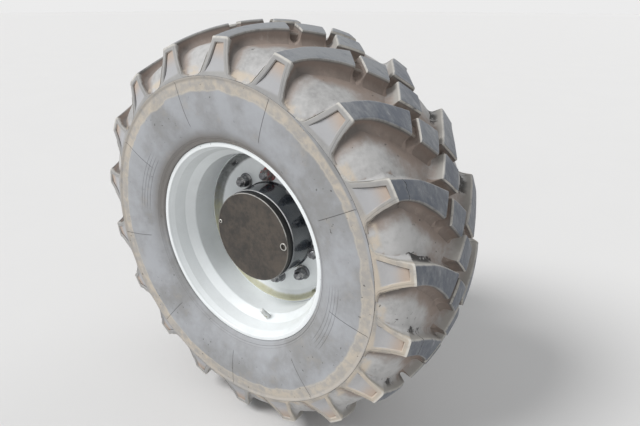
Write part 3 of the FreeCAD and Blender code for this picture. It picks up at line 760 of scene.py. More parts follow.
@dataclass(frozen=True)
class PlugSteel(NutSteel):
    """Painted plug and screws, bright only on their rims."""

    colour: Colour = srgb(70, 67, 63)
    bright: Colour = srgb(104, 99, 92)


@dataclass(frozen=True)
class MarkedNut(Finish):
    """The same steel with the trace of red marking paint that one nut carries."""

    colour: Colour = srgb(126, 120, 118)
    mark: Colour = srgb(176, 74, 70)
    slot: str = "nut_steel"

    def paint(self, graph: Graph) -> bpy.types.Material:
        """A broken smear of red over the steel."""
        cloud, fine = graph.noises((70, 5, 0.6), (500, 4, 0.6))
        base = graph.mix(cloud.step(0.46, 0.58) * 0.8, self.colour, self.mark)
        return graph.surface(base, 0.45 + cloud * 0.2, Metallic=0.35, Normal=graph.bump(fine, 0.3 * MM, 0.4))


@dataclass(frozen=True)
class BrightSteel(Finish):
    """Turned steel with fine rings round the axle."""

    colour: Colour = srgb(160, 160, 162)
    oil: Colour = srgb(96, 88, 78)
    slot: str = "bright_steel"

    def paint(self, graph: Graph) -> bpy.types.Material:
        """Oil-stained metal."""
        cloud = graph.noise(22, 6, 0.6)
        base = graph.mix(cloud.step(0.4, 0.75) * 0.6, self.colour, self.oil)
        return graph.surface(base, 0.34 + cloud * 0.25, Metallic=0.9,
                             Normal=graph.bump(graph.rings(900.0), 0.2 * MM, 0.3))


@dataclass(frozen=True)
class CastingPaint(Finish):
    """Black satin paint on rough castings, with dust on what faces up."""

    colour: Colour = srgb(58, 60, 63)
    faded: Colour = srgb(96, 95, 93)
    dust: Colour = srgb(128, 119, 106)
    slot: str = "casting_paint"

    def coat(self, graph: Graph) -> tuple[Sock, Sock, Sock]:
        """Colour, roughness and height of the painted cast skin."""
        cloud, fine, grain = graph.noises((11, 6, 0.65), (70, 6, 0.7), (330, 3))
        up = graph.parts(graph.node("ShaderNodeNewGeometry", {}, {}, "Normal"))[2]
        lying = up.step(0.1, 0.9) * (cloud * 0.6 + fine * 0.5).step(0.35, 0.75)
        base = graph.coats(
            self.colour,
            (cloud.step(0.4, 0.7) * 0.5, self.faded),
            (lying * 0.5 + fine.step(0.62, 0.74) * 0.3, self.dust))
        return base, 0.44 + lying * 0.3 + cloud * 0.14, grain * 0.6 + fine * 0.7

    def paint(self, graph: Graph) -> bpy.types.Material:
        """The skin alone."""
        base, rough, skin = self.coat(graph)
        return graph.surface(base, rough, Normal=graph.bump(skin, 1.1 * MM, 0.5))


@dataclass(frozen=True)
class ArmPaint(CastingPaint):
    """The arm's paint, with the flange's mating face left bare."""

    bare: Colour = srgb(150, 149, 147)
    oil: Colour = srgb(112, 104, 96)

    def paint(self, graph: Graph) -> bpy.types.Material:
        """The skin, and turned metal where the arm's face meets its mount."""
        base, rough, skin = self.coat(graph)
        face = graph.parts()[1].step(-0.0012, -0.0006)
        metal = graph.mix(graph.noise(11, 6, 0.65).step(0.45, 0.75) * 0.5, self.bare, self.oil)
        height = skin * (1 - face) + graph.rings(700.0) * face * 0.15
        return graph.surface(graph.mix(face, base, metal), rough - face * 0.1, Metallic=face * 0.85,
                             Normal=graph.bump(height, 1.1 * MM, 0.5))


@dataclass(frozen=True)
class ValvePaint(Finish):
    """Brass valve painted over with the rim, its metal showing at worn spots."""

    colour: Colour = srgb(220, 223, 222)
    dust: Colour = srgb(150, 148, 140)
    brass: Colour = srgb(158, 146, 112)
    slot: str = "valve_brass"

    def paint(self, graph: Graph) -> bpy.types.Material:
        """Brass in blotches."""
        cloud, fine = graph.noises((120, 5, 0.6), (500, 3))
        bare = cloud.step(0.62, 0.68)
        base = graph.coats(self.colour, (fine * 0.4, self.dust), (bare, self.brass))
        return graph.surface(base, 0.4 + cloud * 0.2, Metallic=bare * 0.8)


@dataclass(frozen=True)
class FloorStone(Finish):
    """Pale matt studio floor."""

    colour: Colour = srgb(221, 220, 219)
    shade: Colour = srgb(211, 210, 209)

    def paint(self, graph: Graph) -> bpy.types.Material:
        """Faint unevenness, so that it reads as a floor."""
        cloud, fine = graph.noises((1.6, 5), (240, 4))
        base = graph.mix(cloud * 0.3 + fine * 0.25, self.colour, self.shade)
        return graph.surface(base, 0.85, Normal=graph.bump(fine, 0.6 * MM, 0.3))


@dataclass(frozen=True)
class Piece:
    """What joins a mesh to the frame."""

    finish: Finish
    replaces: tuple[str, ...] = ()
    body: str = "wheel"

    def settle(self, made: bpy.types.Object) -> None:
        """Dress a piece, put it on its body and hide what it stands for."""
        self.finish.dress(made)
        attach(made, self.body)
        if self.replaces:
            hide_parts(*self.replaces)
        LOG.info("%s: %d faces on %s", made.name, len(made.data.polygons), self.body)


@dataclass(frozen=True)
class TreadForm:
    """Where the tread's crown, floor and shoulders lie."""

    crown_r: float = 0.598
    crown_arc: float = 0.600
    tread_half: float = 0.199
    shoulder_r: float = 0.564
    ridge_r: float = 0.4735
    ridge_half: float = 0.2262
    # Beyond this y the roots under the lugs' tops lie at a share of the way outwards
    root_turn: float = 0.150
    root_share: float = 0.45
    # The valley's floor from the middle to the ridge, as (y, radius), and its entry at the shoulder
    floor: tuple[Point, ...] = (
        (0.0, 0.5630), (0.030, 0.5624), (0.060, 0.5606), (0.090, 0.5576), (0.120, 0.5530), (0.150, 0.5475),
        (0.172, 0.5400), (0.190, 0.5290), (0.2010, 0.5165), (0.2095, 0.5020), (0.2165, 0.4880),
        (0.2212, 0.4785))
    corner: int = 6

    def crown(self, y: float) -> float:
        """Radius of the lugs' tops at a distance from the middle."""
        y = min(abs(y), self.tread_half + 0.01)
        return self.crown_r - self.crown_arc + math.sqrt(self.crown_arc ** 2 - y * y)

    @lru_cache(maxsize=None)
    def floor_line(self) -> tuple[Point, ...]:
        """The floor as the casing draws it, from the middle to the ridge."""
        steps = 2 * (len(self.floor) - 1)
        return tuple(along(self.floor, step / steps) for step in range(steps + 1))

    def floor_radius(self, y: float) -> float:
        """Radius of the floor at a distance from the middle."""
        return table_value(self.floor_line(), abs(y))

    def root(self, y: float, r: float) -> Point:
        """(y, radius) on the floor under a point of a lug's edge.

        Args:
            y: the point's y, with its sign.
            r: the point's radius.
        Returns:
            The y, with the same sign, and the radius of the root.
        """
        last = len(self.floor) - 1
        if r >= self.shoulder_r:
            beyond = max(0.0, abs(y) - self.root_turn)
            target = min(abs(y), self.root_turn) + beyond * self.root_share
            share = table_value([(p[0], i / last) for i, p in enumerate(self.floor)], target)
        else:
            corner, down = self.corner / last, (self.shoulder_r - r) / (self.shoulder_r - self.ridge_r)
            share = corner + (1 - corner) * down
        root_y, root_r = along(self.floor, min(1.0, share))
        return math.copysign(root_y, y), root_r


@dataclass(frozen=True)
class Level:
    """A level on a bar's side: a share of the way down to the root, less a height over it."""

    share: float
    height: float = 0.0

    def way(self, depth: float) -> float:
        """Share of the way down."""
        return max(0.0, self.share - self.height / depth)


@dataclass(frozen=True)
class Row:
    """One row of vertices across a bar.

    end is -1 on the wall at the bar's inner end and 1 on the one at its outer end. A row on the end
    face has its (radius, |y|) as face, with the pocket's depth there.
    """

    share: float
    level: Level = Level(0.0)
    end: float = 0.0
    pocket: float = 0.0
    face: Optional[Point] = None


@dataclass(frozen=True)
class TreadBar:
    """One bar of the tread between a leading and a trailing edge.

    The edges are (degrees, y) for the outer half, both from the bar's inner end outwards.
    """

    lead: tuple[Point, ...]
    trail: tuple[Point, ...]
    shoulder: bool = False
    sunk: float = 0.0
    rows: int = 10
    draft: float = 0.15
    fillet: float = 0.014
    edge: float = 0.0045
    # Height and inset of the last column before the top
    brow: float = 0.0013
    # How far inside its own ends a row is closed, in radius and as a share of y
    core: float = 0.006
    core_share: float = 0.93
    # The end face's sides as (radius, degrees), from the ridge up
    face_lead: tuple[Point, ...] = (
        (0.4732, 7.4), (0.4742, 6.5), (0.4765, 5.6), (0.4800, 4.95), (0.4850, 4.5), (0.490, 4.2),
        (0.510, 3.1), (0.530, 2.25), (0.550, 1.55), (0.565, 1.1))
    face_trail: tuple[Point, ...] = (
        (0.4732, -9.9), (0.4742, -9.0), (0.4765, -8.1), (0.4800, -7.45), (0.4850, -7.0), (0.490, -6.7),
        (0.510, -5.7), (0.530, -5.0), (0.550, -4.5), (0.565, -4.25))
    pocket_depth: float = 0.0065
    pocket_frame: float = 0.0135
    pocket_wall: float = 0.0028
    pocket_top: float = 0.5515
    # Way into the end face, as (y, radius)
    inward: Point = (0.962, -0.272)

    @property
    def frame_line(self) -> float:
        """Inset of the fine line on the frame."""
        return 1.7 * self.edge

    def levels(self) -> list[Level]:
        """From under the root up to the bar's rounded top edge."""
        foot = [Level(1.0, height) for height in (-0.0012, 0.0004, 0.0014, 0.0032, 0.0058, 0.0092, 0.0130)]
        brow = [Level(0.0, -drop) for drop in (self.edge + 0.003, self.edge, self.brow)]
        return foot + [Level(0.42), Level(0.24)] + brow

    def columns(self) -> list[tuple[float, int, Level]]:
        """(inset from the nearer edge, side, level) across the bar: side 1 is leading, -1 trailing."""
        top = Level(0.0)
        *walls, last = self.levels()
        insets = [self.edge, self.frame_line]
        if self.shoulder:
            insets += [self.pocket_frame + more for more in (0.0, self.pocket_wall, 0.0046)]
        outer = [(0.0, 1, place) for place in walls] + [(self.brow, 1, last)]
        outer += [(inset, 1, top) for inset in insets]
        trailing = [(inset, -1, place) for inset, _, place in reversed(outer)]
        return outer + [(share, 0, top) for share in (0.36, 0.5, 0.64)] + trailing

    def strip(self, form: TreadForm) -> list[Row]:
        """The bar's rows from its inner end to its outer one."""
        inset = 0.0 if self.shoulder else 0.02
        rows = [Row(0.0, place, -1.0) for place in self.levels()]
        rows += [Row(inset + (1 - inset) * step / self.rows) for step in range(self.rows + 1)]
        if not self.shoulder:
            return rows + [Row(1.0, place, 1.0) for place in reversed(self.levels())]
        rows += [Row(1.0, face=corner) for corner in ((0.5640, 0.1998), (0.5610, 0.2007))]
        lean = (form.ridge_half - form.tread_half) / (form.shoulder_r - form.ridge_r)
        for r in (0.5560, self.pocket_top, self.pocket_top - self.pocket_wall, 0.5430, 0.5340, 0.5250, 0.5160,
                  0.5070, 0.4980, 0.4910, 0.4850, 0.4800, 0.4765, 0.4745, 0.4735):
            depth = self.pocket_depth * smooth(0.4760, 0.5060, r) if r < self.pocket_top else 0.0
            rows.append(Row(1.0, pocket=depth, face=(r, form.tread_half + (form.shoulder_r - r) * lean)))
        return rows

    def edges(self, row: Row, form: TreadForm) -> list[list[float]]:
        """[degrees, y, radius] of a row's leading and trailing points on the bar's top."""
        if row.face:
            r, y = row.face
            return [[table_value(side, r), -y, r] for side in (self.face_lead, self.face_trail)]
        ends = (along(side, row.share) for side in (self.lead, self.trail))
        return [[degrees, y, form.crown(y) - self.sunk] for degrees, y in ends]

    @lru_cache(maxsize=None)
    def spots(self, form: TreadForm) -> list[list[tuple[Spot, tuple[float, ...]]]]:
        """(degrees, y, radius) and masks of all vertices, row by row, each row closed inside the bar."""
        result = []
        for row in self.strip(form):
            a, b = self.edges(row, form)
            near = (Row(min(1.0, row.share + 0.05)), Row(max(0.0, row.share - 0.05)))
            ahead, behind = (self.edges(each, form)[0] for each in near)
            onward = Vector((math.radians(ahead[0] - behind[0]) * a[2], ahead[1] - behind[1])).normalized()
            width = Vector((math.radians(a[0] - b[0]) * a[2], a[1] - b[1]))
            line = []
            for inset, where, place in self.columns():
                t = inset if where == 0 else inset / width.length
                t = 1 - t if where < 0 else t
                spot = [a[n] + (b[n] - a[n]) * t for n in range(3)]
                if not row.face:
                    spot[2] = form.crown(spot[1]) - self.sunk
                line.append(self.shape(form, row, spot, width.normalized() * float(where), onward, place, t,
                                       min(t, 1 - t) * width.length))
            degrees, y, r = ((first + last) / 2 for first, last in zip(line[0][0], line[-1][0]))
            line.append(((degrees, y * self.core_share, r - self.core), (0.0,) * len(line[0][1])))
            result.append(line)
        return result

    def write(self, draft: Draft, form: TreadForm, side: Side, turn: float) -> None:
        """Add one copy to a draft with the tread's masks.

        Args:
            draft: the mesh to add to.
            form: the tread's form.
            side: which half of the tread it is on.
            turn: degrees that the copy is turned by.
        """
        sign, lag = side.value
        lines = []
        for line in self.spots(form):
            lines.append([draft.add_polar(r, degrees + lag + turn, sign * y, *masks)
                          for (degrees, y, r), masks in line])
        draft.skin(lines, closed=True, flip=sign > 0)
        draft.fan(lines[0], flip=sign < 0)
        draft.fan(lines[-1], flip=sign > 0)

    def flare(self, share: float, depth: float) -> float:
        """How far a side stands out at a share of the way down, by its draft and its fillet."""
        fillet = min(self.fillet, 0.45 * depth)
        height = max(0.0, (1.0 - share) * depth)
        dip = max(0.0, fillet - height)
        return share * depth * self.draft + fillet - math.sqrt(fillet * fillet - dip * dip)

    def shape(self, form: TreadForm, row: Row, spot: Sequence[float], across: Vector, onward: Vector,
              place: Level, t: float, inset: float) -> tuple[Spot, tuple[float, ...]]:
        """Place and masks of one vertex of the bar.

        Args:
            form: the tread's form.
            row: the row it is in.
            spot: [degrees, y, radius] on the top.
            across: unit way out of the bar's nearer side.
            onward: unit way from the bar's inner to its outer end.
            place: level on the bar's side.
            t: share of the way from the leading to the trailing side.
            inset: metres to the nearer side.
        Returns:
            (degrees, y, radius), and the masks' values.
        """
        degrees, y, r = spot
        root_y, root_r = form.root(y, r + self.sunk)
        depth = max(0.002, math.hypot(y - root_y, r - root_r))
        shares = [where.way(depth) for where in (place, row.level)]
        k = max(shares)
        out, end = (self.flare(share, depth) for share in shares)
        shift = across * out + onward * (end * row.end)
        pocket = row.pocket * (1 - 0.8 * t) if inset > self.pocket_frame + NEAR else 0.0
        y += (root_y - y) * k + shift.y + self.inward[0] * pocket
        r += (root_r - r) * k + self.inward[1] * pocket
        if not row.face:
            r += (form.floor_radius(y) - form.floor_radius(root_y)) * smooth(0.3, 1.0, k)
        return (degrees + math.degrees(shift.x / r), y, r), self.masks(row, t, inset, k, depth, pocket)

    def masks(self, row: Row, t: float, inset: float, k: float, depth: float,
              pocket: float) -> tuple[float, ...]:
        """Masks of one vertex of the bar.

        Args:
            row: the row it is in.
            t: share of the way from the leading to the trailing side.
            inset: metres to the nearer side.
            k: share of the way down to the root.
            depth: metres from the top to the root.
            pocket: depth of the pocket.
        Returns:
            The values of valley, worn, shade, face, recess, crest and groove.
        """
        trails = t > 0.5
        rim = (1.0 - smooth(0.0010, self.edge * 1.2, inset)) * (0.4 if trails else 0.55)
        corner = smooth(0.5555, 0.5630, row.face[0]) if row.face else 0.0
        brow = 1.0 if row.level.height < 0 and row.level.share == 0 else 0.0
        worn = max(rim, corner, brow) if k * depth < self.edge + 0.001 else 0.0
        shade = 1.0 if self.sunk else 0.5 if row.end else float(trails)
        groove = self.groove(row.face[0], t, inset, pocket) if row.face else 0.0
        return (min(1.0, k + self.sunk * 40), worn, shade, float(bool(row.face) and k < 0.3),
                min(1.0, pocket / 0.0012), float(t < 0.5 and k > 0.2), groove)

    def groove(self, r: float, t: float, inset: float, pocket: float) -> float:
        """1 on the trailing frame's fine line and at the foot of the pocket's leading and top walls."""
        foot = self.pocket_frame + self.pocket_wall
        if t > 0.5 and abs(inset - self.frame_line) < NEAR:
            return 0.75
        if t < 0.5 and abs(inset - foot) < NEAR and pocket > 0.0004:
            return 1.0
        head = abs(r - self.pocket_top + self.pocket_wall) < NEAR and inset > self.pocket_frame + NEAR
        return 0.9 - 0.4 * t if head else 0.0


@dataclass(frozen=True)
class Tyre:
    """The tyre: its casing, and the lugs and blocks on it."""

    form: TreadForm = TreadForm()
    count: int = 18
    phase: float = 10.7
    segments: int = 300
    lug: TreadBar = TreadBar(
        lead=((-7.5, -0.033), (-6.2, -0.055), (-4.9, -0.075), (-3.3, -0.100), (-1.8, -0.126),
              (-0.8, -0.150), (0.1, -0.175), (1.0, -0.1985)),
        trail=((-12.6, -0.076), (-10.6, -0.094), (-8.9, -0.113), (-7.4, -0.130), (-6.3, -0.146),
               (-5.4, -0.163), (-4.7, -0.181), (-4.25, -0.1985)),
        shoulder=True, rows=18)
    block: TreadBar = TreadBar(lead=((-14.4, 0.036), (-12.0, 0.009), (-9.8, -0.018)),
                               trail=((-19.2, -0.015), (-17.1, -0.035), (-15.0, -0.055)), rows=6)
    tie: TreadBar = TreadBar(lead=((-11.4, -0.028), (-10.0, -0.040), (-8.6, -0.052)),
                             trail=((-13.6, -0.044), (-12.2, -0.056), (-10.8, -0.068)),
                             rows=3, sunk=0.014, draft=0.1)
    # The side wall's (radius, y) from the bead's inner corner over the ridge to the valley's floor
    wall: tuple[Point, ...] = (
        (0.2990, 0.1790), (0.2992, 0.1905), (0.3004, 0.1944), (0.3022, 0.1960), (0.3044, 0.1968),
        (0.3066, 0.1984), (0.3086, 0.2000), (0.3104, 0.1998), (0.3122, 0.2012), (0.3150, 0.2036),
        (0.3190, 0.2056), (0.3240, 0.2078), (0.3320, 0.2118), (0.3440, 0.2156), (0.3600, 0.2194),
        (0.3780, 0.2222), (0.3980, 0.2240), (0.4180, 0.2248), (0.4340, 0.2249), (0.4480, 0.2247),
        (0.4600, 0.2242), (0.4648, 0.2238), (0.4664, 0.2246), (0.4690, 0.2260), (0.4716, 0.2266),
        (0.4728, 0.2265), (0.4734, 0.2256), (0.4740, 0.2254), (0.4752, 0.2240), (0.4768, 0.2224))

    def casing_profile(self) -> list[Point]:
        """(radius, y) from the outer bead round the outside to the inner bead."""
        outer = list(self.wall) + [(r, y) for y, r in reversed(self.form.floor_line())]
        return [(r, -y) for r, y in outer] + outer[-2::-1]

    def side_angle(self, edge: Sequence[Point], face: Sequence[Point], r: float, y: float) -> float:
        """Degrees of a lug's edge from the lug's own zero, at a floor point's radius or y."""
        if y > self.form.root_turn:
            return table_value(face, r)
        return table_value([(-p[1], p[0]) for p in edge], y)

    def casing_masks(self, r: float, y: float, turn: float) -> tuple[float, ...]:
        """Values of valley, shade and crest on the casing.

        Args:
            r: the vertex's radius.
            y: its y from the wheel's middle.
            turn: its angle in degrees.
        Returns:
            valley is 1 outside the ridge, shade 1 below a lug's trailing side and crest 1 beside
            the next lug's leading side.
        """
        _, lag = (Side.OUTER if y < 0 else Side.INNER).value
        pitch = 360.0 / self.count
        lead = self.side_angle(self.lug.lead, self.lug.face_lead, r, abs(y))
        trail = self.side_angle(self.lug.trail, self.lug.face_trail, r, abs(y))
        place = turn - self.phase - lag
        below, above = (trail - place) % pitch, (place - lead) % pitch
        gap = pitch - (lead - trail)
        shade = 1.0 - smooth(0.0, 0.62 * gap, below) if below < gap else 1.0
        return smooth(0.4732, 0.4742, r), shade, 1.0 - smooth(0.0, 3.0, above)

    def tread(self, side: Side) -> None:
        """All the bars of one half of the tread."""
        draft = Draft("valley", "worn", "shade", "face", "recess", "crest", "groove")
        for index in range(self.count):
            turn = self.phase + 360.0 / self.count * index
            for bar in (self.lug, self.block, self.tie):
                bar.write(draft, self.form, side, turn)
        Piece(LugRubber()).settle(draft.build(f"tread_{side.name.lower()}", 32))

    def build(self) -> None:
        """The carcass with its side walls and the tread's floor, and the two halves of the tread."""
        draft = Draft("valley", "shade", "crest")
        draft.turned(self.casing_profile(), self.segments, masks=self.casing_masks)
        Piece(WallRubber(), ("tyre",)).settle(draft.build("tyre_casing", 40))
        for side in Side:
            self.tread(side)


@dataclass(frozen=True)
class Rim:
    """One-piece rim with a lip each side, tapered seats and a deep well."""

    segments: int = 192
    # (radius, y, corner's radius) of half the section, first on the tyre's side and then on the hub's
    half: tuple[Spot, ...] = (
        (0.2580, 0.1160, 0.004), (0.2755, 0.1400, 0.003), (0.2857, 0.1778, 0.005), (0.2983, 0.1790, 0.002),
        (0.2985, 0.1905, 0.0028), (0.2856, 0.1905, 0.003), (0.2830, 0.1840, 0.004), (0.2765, 0.1720, 0.006),
        (0.2675, 0.1385, 0.007), (0.2492, 0.1120, 0.009))

    def build(self) -> None:
        """The rim."""
        draft = Draft()
        corners = [(r, -y, size) for r, y, size in self.half] + list(reversed(self.half))
        draft.turned(rounded(corners), self.segments)
        Piece(RimPaint(), ("rim",)).settle(draft.build("rim_band", 50))


@dataclass(frozen=True)
class Disc:
    """Pressed disc with a rolled edge and two slots."""

    segments: int = 192
    wall: float = 0.015
    bore_r: float = 0.1408
    edge_r: float = 0.2487
    slot_r: float = 0.233
    slot_angles: tuple[float, ...] = (-49.0, 131.0)
    slot_half: float = 0.0095
    slot_wide: float = 0.0042
    slot_steps: int = 24
    # y between which a slot's cutter reaches
    slot_reach: Point = (-0.06, 0.02)

    def profile(self) -> list[Point]:
        """Closed section from the bore's inner corner."""
        corners = [(self.bore_r, 0.0, 0.001), (self.bore_r, -self.wall, 0.0012), (0.2170, -self.wall, 0.010),
                   (0.2355, -0.0215, 0.012), (0.2425, -0.0355, 0.002), (self.edge_r, -0.0358, 0.002),
                   (self.edge_r, -0.0120, 0.010), (0.2330, 0.0, 0.010)]
        return rounded(corners, steps=5)

    def slot_cutter(self, degrees: float) -> bpy.types.Object:
        """A long hole's solid, square to the disc."""
        draft, out = Draft(), outward(degrees)
        ring = []
        for step in range(self.slot_steps):
            turn = 2 * math.pi * step / self.slot_steps
            sideways = self.slot_wide * math.cos(turn) + math.copysign(self.slot_half, math.cos(turn))
            ring.append(FRONT.cross(out) * sideways + out * (self.slot_r + self.slot_wide * math.sin(turn)))
        rows = [[draft.add(spot + on_axle(y)) for spot in ring] for y in self.slot_reach]
        draft.skin(rows, closed=True)
        draft.faces += [tuple(reversed(rows[0])), tuple(rows[1])]
        return draft.build("slot_cutter")

    def build(self) -> None:
        """The disc, cut by its slots."""
        draft = Draft()
        draft.turned(self.profile(), self.segments)
        disc = draft.build("disc_plate", 40)
        cutters = [self.slot_cutter(angle) for angle in self.slot_angles]
        for cutter in cutters:
            cut = disc.modifiers.new("slot", "BOOLEAN")
            cut.object = cutter
            cut.solver = "EXACT"
        shaped = bpy.data.meshes.new_from_object(disc.evaluated_get(bpy.context.evaluated_depsgraph_get()))
        disc.modifiers.clear()
        disc.data = shaped
        for cutter in cutters:
            bpy.data.objects.remove(cutter)
        Piece(RimPaint(), ("wheel_disc",)).settle(disc)


@dataclass(frozen=True)
class Hub:
    """Planet carrier drum, its cap and what is screwed into the cap."""

    segments: int = 160
    drum_r: float = 0.1398
    drum_front: float = 0.100
    cap_r: float = 0.1366
    cap_front: float = 0.1220
    cap_skirt: float = 0.1350
    foot_r: float = 0.1435
    # How far the heads' feet lie below the cap's rim
    sink: float = 0.0008
    # (radius, degrees) of the plug and the screw, and their heads' radius, height and half socket
    plug: Point = (0.1210, 2.0)
    plug_head: Spot = (0.0112, 0.0034, 0.0058)
    screw: Point = (0.1270, 170.0)
    screw_head: Spot = (0.0062, 0.0026, 0.0030)

    def edge_mask(self, r: float, y: float, turn: float) -> tuple[float, ...]:
        """1 on the front edges of the drum and the cap, where the paint is rubbed off; their brightness along
        the upper arc is a painted highlight.
        """
        on_drum = r > self.drum_r - 0.0014 and -self.drum_front - 0.0001 < y < -self.drum_front + 0.0015
        on_cap = self.cap_r - 0.0012 < r and y < -self.cap_front + 0.0012
        return (1.0 if on_drum or on_cap else 0.0,)

    def casting(self, name: str, corners: Sequence[Spot], piece: Piece) -> None:
        """Turn a casting from its corners and settle it as a piece."""
        draft = Draft("edge")
        draft.turned(rounded(corners, closed=False), self.segments, closed=False, masks=self.edge_mask)
        piece.settle(draft.build(name, 28))

    def drum(self) -> None:
        """Hub flange behind the disc and drum in front of it, as one casting."""
        front, r = self.drum_front, self.drum_r
        corners = [(0.0, -front, 0), (r - 0.0030, -front, 0), (r - 0.0012, -front, 0.0003),
                   (r, -front + 0.0013, 0.0003), (r, -front + 0.0030, 0), (r, -0.0225, 0.001),
                   (self.foot_r, -0.0195, 0.0008), (self.foot_r, -0.0152, 0.0003), (0.1400, -0.0152, 0),
                   (0.1400, 0.0003, 0), (0.1980, 0.0003, 0.0015), (0.1980, 0.0220, 0.003),
                   (0.1180, 0.0220, 0.003), (0.1180, 0.0314, 0.001), (0.0606, 0.0314, 0),
                   (0.0606, -0.0706, 0), (0.0, -0.0706, 0)]
        self.casting("drum_shell", corners, Piece(DrumPaint(), ("hub_drum",)))

    def cap(self) -> None:
        """Cast cap with a low rim round its face."""
        front, r, skirt, foot = self.cap_front, self.cap_r, self.cap_skirt, -self.drum_front - 0.0003
        corners = [(0.0, -front + 0.0007, 0), (r - 0.0062, -front + 0.0007, 0.0006),
                   (r - 0.0052, -front, 0.0004), (r - 0.0028, -front, 0), (r, -front, 0.0010),
                   (r, -front + 0.0028, 0), (r, -front + 0.0135, 0.0006), (skirt, -front + 0.0148, 0.0005),
                   (skirt, foot, 0.0004), (0.0, foot, 0)]
        self.casting("cap_cover", corners, Piece(CapPaint(), ("hub_cap",)))

    def plugs(self) -> None:
        """Level plug with a hexagon socket, and the cap's screw."""
        draft = Draft("edge")
        for head, (r, degrees) in ((self.plug_head, self.plug), (self.screw_head, self.screw)):
            out = outward(degrees)
            draft.place(socket_screw(*head), out * r + on_axle(self.sink - self.cap_front), out, FRONT)
        Piece(PlugSteel(), ("level_plug",)).settle(draft.build("cap_plugs", 30))

    def build(self) -> None:
        """Drum, cap and plugs."""
        self.drum()
        self.cap()
        self.plugs()


Width = Union[float, Callable[[float], float]]


def ring_skin(draft: Draft, levels: Sequence[tuple[Width, Width]], steps: int,
              bright: Sequence[int] = ()) -> None:
    """Skin of a round or cornered bar along Z.

    Args:
        draft: the mesh to add to.
        levels: radius and height of each ring, as numbers or as functions of the angle in radians.
        steps: flats in a turn.
        bright: numbers of the rings whose mask is 1, where the draft has one.
    """
    rows = []
    for index, level in enumerate(levels):
        row = []
        for step in range(steps):
            turn = 2 * math.pi * step / steps
            r, z = (each(turn) if callable(each) else each for each in level)
            row.append(draft.add((r * math.cos(turn), r * math.sin(turn), z), float(index in bright)))
        rows.append(row)
    draft.skin(rows, closed=True)


def hexagon(flats: float) -> Callable[[float], float]:
    """Radius of a hexagon of a width across flats, by the angle in radians."""
    return lambda turn: flats / 2 / math.cos((turn + math.pi / 6) % (math.pi / 3) - math.pi / 6)


def socket_screw(radius: float, height: float, socket: float) -> Draft:
    """Round screw head with a hexagon socket, its foot on Z 0.

    Args:
        radius: the head's radius.
        height: how far it stands out.
        socket: half the socket's width.
    Returns:
        The head as a draft.
    """
    draft = Draft("edge")
    six = hexagon(2 * socket)
    levels = [(0.0, -0.002), (radius, -0.002), (radius, height - 0.0009), (radius - 0.0007, height),
              (radius - 0.0022, height), (radius - 0.0030, height), (six, height),
              (lambda turn: six(turn) * 0.97, height * 0.2), (0.0, height * 0.1)]
    ring_skin(draft, levels, 36, bright=(2, 3, 4))
    return draft


@dataclass(frozen=True)
class WheelBolts:
    """Studs, washers and nuts on their circle."""

    count: int = 10
    circle_r: float = 0.1675
    phase: float = 94.5
    stud_r: float = 0.0110
    stud_end: float = 0.054
    seat: float = 0.0153
    washer_r: float = 0.0230
    washer_high: float = 0.0060
    nut_flats: float = 0.0320
    nut_high: float = 0.0220
    pitch: float = 0.0020
    chamfer: float = 0.62
    marked: int = 0

    def nut(self) -> Draft:
        """Washer and chamfered nut, their foot on Z 0."""
        draft = Draft()
        foot, top = self.washer_high, self.washer_high + self.nut_high
        wall, bore, washer = hexagon(self.nut_flats), self.stud_r + 0.0004, self.washer_r
        inner = self.nut_flats / 2 * 0.95

        def crest(turn: float) -> float:
            """Height of the chamfer's foot at an angle."""
            return top - (wall(turn) - inner) * self.chamfer

        ring_skin(draft, [(bore, 0.0), (washer, 0.0), (washer, foot - 0.0012), (washer - 0.0012, foot),
                          (bore + 0.007, foot), (wall, foot + 0.0006), (wall, crest), (inner, top),
                          (bore + 0.0012, top), (bore, top - 0.0012), (bore, foot), (bore, 0.0)], 48)
        return draft

    def stud(self) -> Draft:
        """Threaded stud, with Z 0 on the nut's foot."""
        draft = Draft()
        tip, r = self.stud_end - self.seat, self.stud_r
        levels = [(0.0, -self.seat), (r, -self.seat), (r, 0.004)]
        z = self.washer_high + self.nut_high - 2 * self.pitch
        while z < tip - 1.6 * self.pitch:
            levels += [(r, z), (r - 0.0011, z + self.pitch / 2)]
            z += self.pitch
        levels += [(r - 0.0003, tip - 0.0016), (r - 0.0022, tip), (0.0026, tip), (0.0020, tip - 0.0012),
                   (0.0, tip - 0.0016)]
        ring_skin(draft, levels, 28)
        return draft

    def build(self) -> None:
        """All ten, the one with the paint mark on its own."""
        nuts, marked, studs = Draft(), Draft(), Draft()
        nut, stud = self.nut(), self.stud()
        for index in range(self.count):
            out = outward(self.phase + 360.0 / self.count * index)
            # Each nut is turned by an angle of its own
            lean = math.radians((index * 37) % 60)
            x_axis = out * math.cos(lean) + FRONT.cross(out) * math.sin(lean)
            seat = out * self.circle_r + on_axle(-self.seat)
            (marked if index == self.marked else nuts).place(nut, seat, x_axis, FRONT)
            studs.place(stud, seat, x_axis, FRONT)
        Piece(NutSteel(), ("wheel_nuts",)).settle(nuts.build("nut_ring", 30))
        Piece(MarkedNut()).settle(marked.build("nut_marked", 30))
        Piece(NutSteel(), ("wheel_studs",)).settle(studs.build("stud_ring", 30))


